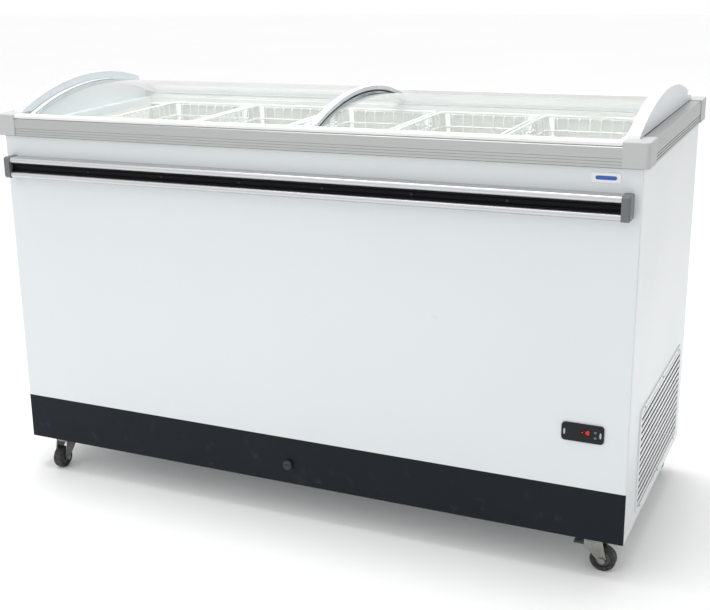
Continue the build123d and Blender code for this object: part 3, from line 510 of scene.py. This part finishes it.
def new_piece(name, mesh, finish, body, smooth=True):
    """Turn a finished bmesh into an object that rides on a body."""
    data = bpy.data.meshes.new(name)
    bmesh.ops.recalc_face_normals(mesh, faces=mesh.faces)
    mesh.to_mesh(data)
    mesh.free()
    for face in data.polygons:
        face.use_smooth = smooth
    piece = bpy.data.objects.new(name, data)
    bpy.context.scene.collection.objects.link(piece)
    data.materials.append(FINISHES[finish])
    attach(piece, body)
    return piece


def break_edges(piece, width, segments=2, sharp=35):
    """Round the edges of a piece that turn by more than a sharp angle, in degrees."""
    bevel = piece.modifiers.new("broken_edges", "BEVEL")
    bevel.width = width
    bevel.segments = segments
    bevel.limit_method = "ANGLE"
    bevel.angle_limit = math.radians(sharp)
    bevel.harden_normals = True


def add_box(mesh, low, high):
    """A box between two corners."""
    low, high = Vector(low), Vector(high)
    middle = (low + high) / 2
    size = high - low
    matrix = Matrix.Translation(middle) @ Matrix.Diagonal((*size, 1))
    bmesh.ops.create_cube(mesh, size=1, matrix=matrix)


def frame_along(direction):
    """Two directions square to the given one."""
    helper = Z_AXIS if abs(direction.dot(Z_AXIS)) < 0.9 else X_AXIS
    first = direction.cross(helper).normalized()
    return first, direction.cross(first).normalized()


def loft(mesh, rings, closed=False):
    """Faces from each ring to the next; a closed loft has no ends, and an open one is capped."""
    onward = rings[1:] + rings[:1] if closed else rings[1:]
    for lower, upper in zip(rings, onward):
        for index in range(len(lower)):
            following = (index + 1) % len(lower)
            mesh.faces.new((lower[index], lower[following], upper[following], upper[index]))
    if not closed:
        mesh.faces.new(rings[0])
        mesh.faces.new(rings[-1])


def add_turned(mesh, base, axis, profile, sides=24, closed=False):
    """A turned piece: its profile is a list of (radius, distance along the axis)."""
    axis = Vector(axis).normalized()
    first, second = frame_along(axis)
    rings = []
    for radius, along in profile:
        ring = []
        for index in range(sides):
            turn = 2 * math.pi * index / sides
            out = first * math.cos(turn) + second * math.sin(turn)
            ring.append(mesh.verts.new(Vector(base) + axis * along + out * radius))
        rings.append(ring)
    loft(mesh, rings, closed)


def add_tube(mesh, path, radius, closed=False, sides=8):
    """A round wire or pipe along a path, mitred at its corners."""
    path = [Vector(point) for point in path]
    count = len(path)
    rings = []
    normal = None
    for index, point in enumerate(path):
        before = path[index - 1] if closed or index else point
        after = path[(index + 1) % count] if closed or index < count - 1 else point
        into = (point - before).normalized() if point != before else (after - point).normalized()
        onward = (after - point).normalized() if after != point else into
        along = (into + onward).normalized()
        if normal is None:
            normal = frame_along(along)[0]
        normal = (normal - along * normal.dot(along)).normalized()
        across = along.cross(normal)
        mitre = 1 / max(0.5, along.dot(into))
        ring = []
        for side in range(sides):
            turn = 2 * math.pi * side / sides
            out = normal * math.cos(turn) + across * math.sin(turn)
            ring.append(mesh.verts.new(point + out * radius * mitre))
        rings.append(ring)
    loft(mesh, rings, closed)


def rounded(path, radius, steps=4, closed=False):
    """A path with its corners rounded."""
    path = [Vector(point) for point in path]
    count = len(path)
    result = []
    for index, point in enumerate(path):
        if not closed and index in (0, count - 1):
            result.append(point)
            continue
        before = path[index - 1]
        after = path[(index + 1) % count]
        reach = min(radius, (before - point).length * 0.45, (after - point).length * 0.45)
        start = point + (before - point).normalized() * reach
        end = point + (after - point).normalized() * reach
        for step in range(steps + 1):
            share = step / steps
            result.append(start.lerp(point, share).lerp(point.lerp(end, share), share))
    return result


def add_screw(mesh, place, axis, radius):
    """The domed head of a panel screw, standing out along the axis."""
    profile = [
        (radius, 0), (radius, 0.25 * radius), (0.85 * radius, 0.5 * radius),
        (0.5 * radius, 0.62 * radius), (0.2 * radius, 0.64 * radius),
    ]
    add_turned(mesh, place, axis, profile, 16)


# Makers: one for each piece or group of like pieces


class Maker(bpy.types.Operator):
    """Shared behaviour of the makers."""

    bl_options = {"REGISTER", "UNDO"}

    def execute(self, context):
        finish_library(context.scene.freezer_colours)
        self.make(context.scene.freezer_sizes)
        return {"FINISHED"}


class FREEZER_OT_cabinet(Maker):
    """Finish the outer sheets, the kick plate, the base and the side grille, and add their screws"""

    bl_idname = "freezer.cabinet"
    bl_label = "Cabinet"

    def make(self, sizes):
        for node in ("front_panel", "left_side_panel", "right_side_panel", "rear_panel"):
            dress(node, "white_paint")
        dress("kick_plate", "kick_paint")
        dress("base_tray", "zinc_sheet")
        dress("side_grille", "grille_paint")
        self.add_grille_screws(sizes.screw_radius)
        self.add_rear_screws(sizes.screw_radius)

    def add_grille_screws(self, radius):
        low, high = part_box("side_grille")
        inset = 4.5 * MM
        face = low.x + 2.4 * MM
        mesh = bmesh.new()
        for share in (0.08, 0.5, 0.92):
            y = low.y + (high.y - low.y) * share
            for z in (low.z + inset, high.z - inset):
                add_screw(mesh, (face, y, z), X_AXIS, radius * 0.8)
        new_piece("side_grille_screws", mesh, "screw_steel", "cabinet")

    def add_rear_screws(self, radius):
        low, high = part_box("rear_panel")
        inset = 14 * MM
        columns = 7
        mesh = bmesh.new()
        for index in range(columns):
            x = low.x + inset + (high.x - low.x - 2 * inset) * index / (columns - 1)
            for z in (low.z + inset, high.z - inset):
                add_screw(mesh, (x, high.y, z), Y_AXIS, radius)
        new_piece("rear_panel_screws", mesh, "screw_steel", "cabinet")


class FREEZER_OT_top_frame(Maker):
    """Finish the frame rails, corner caps, lid tracks and end mouldings, and add the black seals and the
    black bead that paints the shadow line under the frame
    """

    bl_idname = "freezer.top_frame"
    bl_label = "Top frame"

    def make(self, sizes):
        for end in ("front", "rear"):
            dress(f"frame_{end}_rail", "frame_aluminium")
            dress(f"{end}_lid_track", "track_moulding", 0.6 * MM)
        for side in SIDES:
            # The side rails take the darker copy of the frame aluminium: painted shade.
            dress(f"frame_{side}_rail", "side_aluminium")
            dress(f"{side}_arch", "white_moulding", 1.2 * MM)
            self.add_seal(side, sizes.seal_width)
        dress("corner_caps", "cap_moulding", 0.8 * MM)
        self.add_shadow_bead(sizes.shadow_bead_radius)

    def add_shadow_bead(self, radius):
        """The black bead all round between the frame and the cabinet: partly a squeezed-out gasket, partly
        painted shade for the shadow line under the overhanging rails.
        """
        low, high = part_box("front_panel")
        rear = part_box("rear_panel")[1].y
        top = high.z - radius
        corners = ((low.x, low.y), (high.x, low.y), (high.x, rear), (low.x, rear))
        path = [Vector((x, y, top)) for x, y in corners]
        mesh = bmesh.new()
        add_tube(mesh, rounded(path, 3 * MM, closed=True), radius, closed=True)
        # Black bead under the frame: painted shade in the seam, partly a gasket.
        new_piece("frame_shadow_bead", mesh, "seal_rubber", "cabinet")

    def add_seal(self, side, width):
        """A bead in the joint between an end moulding and the side rail."""
        low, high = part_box(f"frame_{side}_rail")
        x = low.x if side == "right" else high.x
        top = high.z + 0.2 * MM
        inset = 2 * MM
        mesh = bmesh.new()
        add_tube(mesh, [(x, low.y + inset, top), (x, high.y - inset, top)], width / 2)
        new_piece(f"{side}_arch_seal", mesh, "black_plastic", "cabinet")


class FREEZER_OT_lids(Maker):
    """Finish the glass, runners, stiles and grip of both sliding lids, and add their seals"""

    bl_idname = "freezer.lids"
    bl_label = "Sliding lids"

    def make(self, sizes):
        for side in SIDES:
            dress(f"{side}_lid_glass", "lid_glass")
            dress(f"{side}_lid_runners", "lid_moulding", 0.5 * MM)
            dress(f"{side}_lid_stiles", "lid_moulding", 1.0 * MM)
        dress("left_lid_grip", "lid_moulding", 0.8 * MM)
        low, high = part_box("left_lid_stiles")
        self.axis_z = high.z - sizes.lid_radius
        self.thick = sizes.seal_width * 0.75
        drop = 1.2 * MM
        under = sizes.lid_thickness - 0.1 * MM
        inset = 2.5 * MM
        self.add_seal("left_lid_seal", "left", low.x, -1, drop, sizes.seal_height)
        self.add_seal("lid_brush", "left", high.x - inset, 1, under, sizes.brush_height)
        low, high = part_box("right_lid_stiles")
        self.add_seal("right_lid_seal", "right", high.x, 1, drop, sizes.seal_height)

    def add_seal(self, name, side, x, out, drop, tall):
        """A curved strip along the edge of a lid, from a drop under its top face downwards."""
        low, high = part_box(f"{side}_lid_stiles")
        thick = self.thick
        axis_z = self.axis_z
        middle_y = (low.y + high.y) / 2
        outer = high.z - axis_z - drop
        half = math.asin(((high.y - low.y) / 2 - 24 * MM) / outer)
        steps = 48
        mesh = bmesh.new()
        rings = []
        for step in range(steps + 1):
            turn = half * (2 * step / steps - 1)
            ring = []
            for reach, across in ((outer - tall, 0), (outer, 0), (outer, thick), (outer - tall, thick)):
                y = middle_y + reach * math.sin(turn)
                z = axis_z + reach * math.cos(turn)
                ring.append(mesh.verts.new((x + out * (0.1 * MM + across), y, z)))
            rings.append(ring)
        loft(mesh, rings)
        new_piece(name, mesh, "seal_rubber", f"{side}_lid", False)


class FREEZER_OT_bumper(Maker):
    """Finish the bumper channel, its black strip, its screws and its end caps"""

    bl_idname = "freezer.bumper"
    bl_label = "Bumper"

    def make(self, sizes):
        dress("bumper_rail", "bumper_aluminium")
        dress("bumper_insert", "bumper_strip", 0.4 * MM)
        dress("bumper_screws", "black_screw")
        dress("bumper_end_caps", "bumper_cap_plastic")


class FREEZER_OT_controller(Maker):
    """Finish the temperature controller and light its figures"""

    bl_idname = "freezer.controller"
    bl_label = "Temperature controller"

    # Which of the seven bars each figure lights, in the order of the places below
    BARS = {"-": "0001000", "1": "0010010", "8": "1111111"}

    def make(self, sizes):
        dress("controller_body", "controller_plastic")
        dress("controller_window", "display_window")
        for node in ("controller_set_key", "controller_power_key"):
            dress(node, "key_plastic")
        dress("controller_screw_caps", "screw_cap_plastic")
        self.add_figures("-18", sizes.digit_height)
        self.add_lamps()

    def add_figures(self, text, tall):
        low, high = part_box("controller_window")
        wide = tall * 0.5
        thick = tall * 0.13
        pitch = wide + tall * 0.28
        face = low.y - 0.05 * MM
        mesh = bmesh.new()
        start = (low.x + high.x - pitch * (len(text) - 1)) / 2
        for index, figure in enumerate(text):
            middle = Vector((start + index * pitch, face, (low.z + high.z) / 2))
            self.add_figure(mesh, middle, figure, wide, tall, thick)
        piece = new_piece("display_figures", mesh, "display_light", "cabinet", False)
        break_edges(piece, thick * 0.3, 1)

    def add_figure(self, mesh, middle, figure, wide, tall, thick):
        half_w, half_t, gap = wide / 2, tall / 2, thick * 0.6
        upright = half_t / 2 - gap / 2
        places = (
            (0, half_t, 1), (-half_w, half_t / 2, 0), (half_w, half_t / 2, 0), (0, 0, 1),
            (-half_w, -half_t / 2, 0), (half_w, -half_t / 2, 0), (0, -half_t, 1),
        )
        for (x, z, flat), lit in zip(places, self.BARS[figure]):
            if lit == "0":
                continue
            across = half_w - gap if flat else thick / 2
            up = thick / 2 if flat else upright - gap / 2
            low = middle + Vector((x - across, -0.1 * MM, z - up))
            high = middle + Vector((x + across, 0.1 * MM, z + up))
            add_box(mesh, low, high)

    def add_lamps(self):
        """Two small lamps beside the window, for cooling and defrost."""
        low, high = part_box("controller_window")
        bezel_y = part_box("controller_body")[0].y
        mesh = bmesh.new()
        for share in (0.3, 0.7):
            z = low.z + (high.z - low.z) * share
            profile = [(0.9 * MM, 0), (0.9 * MM, 0.3 * MM), (0.5 * MM, 0.6 * MM)]
            add_turned(mesh, (low.x - 5 * MM, bezel_y + 1.4 * MM, z), -Y_AXIS, profile, 12)
        new_piece("display_lamps", mesh, "display_light", "cabinet")


class FREEZER_OT_badge(Maker):
    """Finish the plain badge and add its colour bar"""

    bl_idname = "freezer.badge"
    bl_label = "Badge"

    def make(self, sizes):
        dress("name_badge", "badge_plate")
        low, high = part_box("name_badge")
        middle = (low + high) / 2
        half = (high.x - low.x) * 0.36
        tall = (high.z - low.z) * 0.2
        steps = 10
        outline = []
        for side in (1, -1):
            for step in range(steps + 1):
                turn = math.pi * step / steps - math.pi / 2
                x = middle.x + side * (half - tall + tall * math.cos(turn))
                outline.append((x, middle.z + side * tall * math.sin(turn)))
        mesh = bmesh.new()
        front = [mesh.verts.new((x, low.y - 0.35 * MM, z)) for x, z in outline]
        back = [mesh.verts.new((x, low.y + 0.1 * MM, z)) for x, z in outline]
        loft(mesh, [front, back])
        piece = new_piece("badge_colour_bar", mesh, "badge_bar", "cabinet", False)
        break_edges(piece, 0.15 * MM)


class FREEZER_OT_cavity(Maker):
    """Finish the liner, the insulation, the evaporator tube and the drain"""

    bl_idname = "freezer.cavity"
    bl_label = "Cavity and drain"

    def make(self, sizes):
        for node in ("liner_walls", "liner_floor"):
            dress(node, "liner_sheet")
        dress("foam_insulation", "insulation_foam")
        dress("evaporator_tube", "cooling_tube")
        dress("drain_tube", "drain_plastic")
        dress("drain_plug", "black_plastic")
        self.add_knob_grip()

    def add_knob_grip(self):
        """Ribs round the drain knob, and a finger bar across it."""
        low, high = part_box("drain_plug")
        middle = (low + high) / 2
        radius = (high.x - low.x) / 2
        ribs = 20
        mesh = bmesh.new()
        for index in range(ribs):
            turn = 2 * math.pi * index / ribs
            out = Vector((math.cos(turn), 0, math.sin(turn))) * (radius - 0.3 * MM)
            start = Vector((middle.x, low.y + 2.6 * MM, middle.z)) + out
            add_tube(mesh, [start, start + Y_AXIS * 4.6 * MM], 0.7 * MM, sides=6)
        face = Vector((middle.x, low.y, middle.z))
        half = Vector((radius * 0.72, 0, 1.6 * MM))
        add_box(mesh, face - half - Y_AXIS * 1.2 * MM, face + half + Y_AXIS * 0.2 * MM)
        piece = new_piece("drain_plug_grip", mesh, "black_plastic", "drain_plug")
        break_edges(piece, 0.3 * MM)


class FREEZER_OT_baskets(Maker):
    """Weave the coated wire baskets in place of their plain trays"""

    bl_idname = "freezer.baskets"
    bl_label = "Wire baskets"

    def make(self, sizes):
        for node in BASKETS:
            mesh = bmesh.new()
            self.weave(mesh, node, sizes)
            piece = new_piece(f"wire_{node}", mesh, "basket_coating", node)
            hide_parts(node)

    def weave(self, mesh, node, sizes):
        low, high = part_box(node)
        rim_z = high.z - 3 * MM + sizes.rim_wire
        self.floor_z = low.z + sizes.grid_wire
        self.middle = Vector(((low.x + high.x) / 2, (low.y + high.y) / 2, 0))
        rim_x = (high.x - low.x) / 2 - sizes.rim_wire
        rim_y = (high.y - low.y) / 2 - sizes.rim_wire
        ledge = 13 * MM
        self.top_z = rim_z - sizes.rim_wire * 1.5
        self.wall_x = rim_x - 2 * sizes.rim_wire
        self.wall_y = rim_y - ledge
        self.taper = sizes.basket_taper
        self.add_loop(mesh, rim_x, rim_y, rim_z, 12 * MM, sizes.rim_wire)
        band_z = self.top_z - 27 * MM
        hoops = (
            (band_z, sizes.band_wire),
            (band_z - 60 * MM, sizes.grid_wire),
            (band_z - 120 * MM, sizes.grid_wire),
            (self.floor_z + 24 * MM, sizes.grid_wire * 1.3),
        )
        for z, radius in hoops:
            lean = self.lean(z)
            out = sizes.grid_wire + radius
            self.add_loop(mesh, self.wall_x - lean + out, self.wall_y - lean + out, z, 10 * MM, radius)
        self.add_grid(mesh, sizes, rim_x, rim_y, rim_z)
        self.add_posts(mesh, sizes)

    def lean(self, z):
        """How far the wall stands in from its top edge at a height."""
        return self.taper * (self.top_z - z) / (self.top_z - self.floor_z)

    def add_loop(self, mesh, half_x, half_y, z, radius, wire):
        corners = [(-half_x, -half_y), (half_x, -half_y), (half_x, half_y), (-half_x, half_y)]
        path = [self.middle + Vector((x, y, z)) for x, y in corners]
        add_tube(mesh, rounded(path, radius, closed=True), wire, closed=True, sides=10)

    def add_grid(self, mesh, sizes, rim_x, rim_y, rim_z):
        """Wires that run down one wall, along the floor and up the other."""
        for along, across, rim in ((self.wall_x, self.wall_y, rim_y), (self.wall_y, self.wall_x, rim_x)):
            lengthwise = along == self.wall_x
            count = round(2 * along / sizes.grid_pitch)
            for index in range(1, count):
                place = 2 * index / count - 1
                top = place * along
                foot = place * (along - self.taper)
                outline = [
                    (-rim, top, rim_z - sizes.rim_wire), (-across, top, self.top_z),
                    (self.taper - across, foot, self.floor_z), (across - self.taper, foot, self.floor_z),
                    (across, top, self.top_z), (rim, top, rim_z - sizes.rim_wire),
                ]
                path = []
                for reach, side, z in outline:
                    spot = (side, reach, z) if lengthwise else (reach, side, z)
                    path.append(self.middle + Vector(spot))
                lift = Z_AXIS * (0 if lengthwise else 2 * sizes.grid_wire)
                path = [point + lift if abs(point.z - self.floor_z) < MM else point for point in path]
                add_tube(mesh, rounded(path, 9 * MM), sizes.grid_wire, sides=6)

    def add_posts(self, mesh, sizes):
        """Flat strips that stiffen the corners of the front and rear walls."""
        thick = 1.2 * MM
        for side_x in (-1, 1):
            for side_y in (-1, 1):
                rings = []
                for z in (self.top_z + 2 * MM, self.floor_z + 8 * MM):
                    lean = self.lean(z)
                    x = side_x * (self.wall_x - lean - sizes.post_width)
                    y = side_y * (self.wall_y - lean + 3 * sizes.grid_wire)
                    ring = []
                    for dx, dy in ((-1, -1), (1, -1), (1, 1), (-1, 1)):
                        spot = Vector((x + dx * sizes.post_width / 2, y + dy * thick, z))
                        ring.append(mesh.verts.new(self.middle + spot))
                    rings.append(ring)
                loft(mesh, rings)


class FREEZER_OT_machinery(Maker):
    """Finish the compressor, condenser, fan and gland, and add the copper pipes"""

    bl_idname = "freezer.machinery"
    bl_label = "Machinery"

    def make(self, sizes):
        dress("compressor", "compressor_paint")
        dress("condenser", "coil_aluminium")
        dress("fan_motor", "black_plastic")
        dress("fan_blade", "black_plastic")
        dress("power_gland", "black_plastic", 0.4 * MM)
        self.add_pipes(sizes.pipe_radius)

    def add_pipes(self, radius):
        """Discharge and liquid pipes between the compressor and the condenser, with a drier on the liquid
        pipe.
        """
        pot_low, pot_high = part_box("compressor")
        coil_low, coil_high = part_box("condenser")
        inlet = Vector((coil_low.x, coil_high.y - 15 * MM, coil_high.z - 27 * MM))
        outlet = Vector((coil_low.x, coil_high.y - 15 * MM, coil_low.z + 28 * MM))
        stub_x = (pot_low.x + pot_high.x) / 2 + 25 * MM
        stub_z = pot_low.z + 105 * MM
        stub_y = pot_low.y - 12 * MM
        run_y = stub_y - 18 * MM
        run_z = inlet.z + 22 * MM
        out = coil_low.x - 14 * MM
        mesh = bmesh.new()
        discharge = [
            (stub_x, stub_y, stub_z), (stub_x, run_y, stub_z), (stub_x, run_y, run_z),
            (out, run_y, run_z), (out, inlet.y, run_z), (out, inlet.y, inlet.z), inlet,
        ]
        add_tube(mesh, rounded(discharge, 16 * MM, 6), radius, sides=12)
        liquid = [
            outlet, (out, outlet.y, outlet.z), (out, outlet.y + 110 * MM, outlet.z),
            (out, outlet.y + 110 * MM, outlet.z + 60 * MM),
        ]
        add_tube(mesh, rounded(liquid, 14 * MM, 6), radius, sides=12)
        drier_foot = Vector((out, outlet.y + 110 * MM, outlet.z + 58 * MM))
        profile = [
            (radius, 0), (9 * MM, 9 * MM), (9 * MM, 62 * MM), (radius, 71 * MM), (radius * 0.5, 80 * MM)
        ]
        add_turned(mesh, drier_foot, Z_AXIS, profile)
        new_piece("refrigerant_pipes", mesh, "pipe_copper", "cabinet")


class FREEZER_OT_casters(Maker):
    """Finish the casters and add their bolts, races and hub caps"""

    bl_idname = "freezer.casters"
    bl_label = "Casters"

    def make(self, sizes):
        dress("caster_plates", "zinc_plate")
        for corner in CORNERS:
            dress(f"caster_fork_{corner}", "zinc_plate")
            dress(f"caster_wheel_{corner}", "wheel_rubber")
            self.add_bolts(corner)
            self.add_race(corner)
            self.add_hub_caps(corner)
        for corner in CORNERS[:2]:
            dress(f"brake_pedal_{corner}", "black_plastic", 0.6 * MM)

    def add_bolts(self, corner):
        """Four hexagon bolts that hold a top plate to the base."""
        pivot = Vector(JOINTS[f"caster_{corner}_swivel"]["pos_m"])
        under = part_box("caster_plates")[1].z - 3 * MM
        reach = 23 * MM
        mesh = bmesh.new()
        for side_x in (-1, 1):
            for side_y in (-1, 1):
                place = (pivot.x + side_x * reach, pivot.y + side_y * reach, under)
                profile = [(5.5 * MM, 0), (5.5 * MM, 3.2 * MM), (4.6 * MM, 3.8 * MM)]
                add_turned(mesh, place, -Z_AXIS, profile, 6)
        new_piece(f"caster_bolts_{corner}", mesh, "screw_steel", "cabinet", False)

    def add_race(self, corner):
        """The rolled lip of the ball race round the kingpin."""
        pivot = Vector(JOINTS[f"caster_{corner}_swivel"]["pos_m"])
        steps = 32
        radius = 20.4 * MM
        height = 70.6 * MM
        path = []
        for step in range(steps):
            turn = 2 * math.pi * step / steps
            path.append((pivot.x + radius * math.cos(turn), pivot.y + radius * math.sin(turn), height))
        mesh = bmesh.new()
        add_tube(mesh, path, 1.1 * MM, closed=True)
        new_piece(f"caster_race_{corner}", mesh, "zinc_plate", "cabinet")

    def add_hub_caps(self, corner):
        """Grey rings in the dished faces of a wheel."""
        joint = JOINTS[f"wheel_{corner}_roll"]
        middle = Vector(joint["pos_m"])
        axis = Vector(joint["axis"]).normalized()
        mesh = bmesh.new()
        for side in (-1, 1):
            start = middle + axis * side * 8.2 * MM
            profile = [
                (15.6 * MM, 0), (15.6 * MM, 0.7 * MM), (14.6 * MM, 1.4 * MM),
                (9.4 * MM, 1.0 * MM), (8.4 * MM, 1.9 * MM), (8.1 * MM, 0),
            ]
            add_turned(mesh, start, axis * side, profile, 32, closed=True)
        new_piece(f"wheel_hubs_{corner}", mesh, "hub_plastic", f"wheel_{corner}")


class FREEZER_OT_stage(bpy.types.Operator):
    """Lay the pale floor, hang the studio lights and set the camera"""

    bl_idname = "freezer.stage"
    bl_label = "Studio"

    def execute(self, context):
        stage = context.scene.freezer_stage
        self.lay_floor()
        self.hang_card()
        self.light_surround(context.scene, stage.sky)
        self.hang_light("key_light", (-1.2, -2.6, 3.2), (0, 0, 0.5), 3.2, stage.key_power)
        self.hang_light("top_light", (-0.3, 0.3, 3.4), (-0.3, 0.3, 0), 2.4, stage.top_power)
        self.set_camera(context.scene, stage)
        context.scene.view_settings.view_transform = "Standard"
        return {"FINISHED"}

    def lay_floor(self):
        half = 14
        corners = ((-half, -half, 0), (half, -half, 0), (half, half, 0), (-half, half, 0))
        self.add_sheet("floor", corners, (0.98, 0.98, 0.98))

    def hang_card(self):
        """A pale grey card beyond the right-hand end, which keeps that end from washing out."""
        x, y0, y1, top = 2.3, -1.8, 2.6, 2.4
        corners = ((x, y0, 0), (x, y1, 0), (x, y1, top), (x, y0, top))
        self.add_sheet("shade_card", corners, (0.5, 0.5, 0.5))

    def add_sheet(self, name, corners, tone):
        mesh = bmesh.new()
        mesh.faces.new([mesh.verts.new(corner) for corner in corners])
        data = bpy.data.meshes.new(name)
        mesh.to_mesh(data)
        mesh.free()
        sheet = bpy.data.objects.new(name, data)
        bpy.context.scene.collection.objects.link(sheet)
        finish = Finish(f"studio_{name}", tone, 0.6)
        finish.drift(0.8, 0.015)
        finish.relief(finish.noise(90, 2), 0.1 * MM, 0.2)
        data.materials.append(finish.matting(finish.noise(4, 3), 0.55, 0.7).done())

    def light_surround(self, scene, strength):
        world = bpy.data.worlds.new("studio")
        scene.world = world
        world.use_nodes = True
        background = next(n for n in world.node_tree.nodes if n.type == "BACKGROUND")
        background.inputs["Color"].default_value = (1.0, 1.0, 1.0, 1)
        background.inputs["Strength"].default_value = strength

    def hang_light(self, name, place, aim, size, power):
        data = bpy.data.lights.new(name, "AREA")
        data.shape = "SQUARE"
        data.size = size
        data.energy = power
        lamp = bpy.data.objects.new(name, data)
        bpy.context.scene.collection.objects.link(lamp)
        lamp.location = place
        lamp.rotation_euler = (Vector(aim) - Vector(place)).to_track_quat("-Z", "Y").to_euler()

    def set_camera(self, scene, stage):
        data = bpy.data.cameras.new("camera")
        data.sensor_width = 36
        data.lens = stage.lens
        data.shift_x = stage.shift
        data.clip_end = 60
        camera = bpy.data.objects.new("camera", data)
        scene.collection.objects.link(camera)
        ahead = Vector((
            -math.sin(stage.turn) * math.cos(stage.dip),
            math.cos(stage.turn) * math.cos(stage.dip),
            -math.sin(stage.dip),
        ))
        right = ahead.cross(Z_AXIS).normalized()
        up = right.cross(ahead)
        leaning = Matrix.Rotation(stage.lean, 3, ahead)
        right = leaning.inverted() @ right
        up = leaning.inverted() @ up
        camera.matrix_world = Matrix.Translation((stage.stand_x, -stage.stand_back, stage.stand_z)) @ Matrix((
            (right.x, up.x, -ahead.x, 0),
            (right.y, up.y, -ahead.y, 0),
            (right.z, up.z, -ahead.z, 0),
            (0, 0, 0, 1),
        ))
        scene.camera = camera


MAKERS = (
    FREEZER_OT_cabinet,
    FREEZER_OT_top_frame,
    FREEZER_OT_lids,
    FREEZER_OT_bumper,
    FREEZER_OT_controller,
    FREEZER_OT_badge,
    FREEZER_OT_cavity,
    FREEZER_OT_baskets,
    FREEZER_OT_machinery,
    FREEZER_OT_casters,
    FREEZER_OT_stage,
)


class FREEZER_PT_panel(bpy.types.Panel):
    """The makers, the sizes and the colours, in the sidebar"""

    bl_idname = "FREEZER_PT_panel"
    bl_label = "Chest freezer"
    bl_space_type = "VIEW_3D"
    bl_region_type = "UI"
    bl_category = "Freezer"

    def draw(self, context):
        for maker in MAKERS:
            self.layout.operator(maker.bl_idname)
        for group in ("freezer_sizes", "freezer_colours", "freezer_stage"):
            settings = getattr(context.scene, group)
            box = self.layout.box()
            for key in settings.__annotations__:
                box.prop(settings, key)


GROUPS = {"freezer_sizes": FreezerSizes, "freezer_colours": FreezerColours, "freezer_stage": FreezerStage}


def register():
    for group in GROUPS.values():
        bpy.utils.register_class(group)
    for maker in (*MAKERS, FREEZER_PT_panel):
        bpy.utils.register_class(maker)
    for name, group in GROUPS.items():
        setattr(bpy.types.Scene, name, bpy.props.PointerProperty(type=group))


def unregister():
    for name in GROUPS:
        delattr(bpy.types.Scene, name)
    for maker in (FREEZER_PT_panel, *reversed(MAKERS)):
        bpy.utils.unregister_class(maker)
    for group in GROUPS.values():
        bpy.utils.unregister_class(group)


def main():
    register()
    for maker in MAKERS:
        family, action = maker.bl_idname.split(".")
        if getattr(getattr(bpy.ops, family), action)() != {"FINISHED"}:
            raise RuntimeError(f"{maker.bl_label} was not finished")


if __name__ == "__main__":
    main()
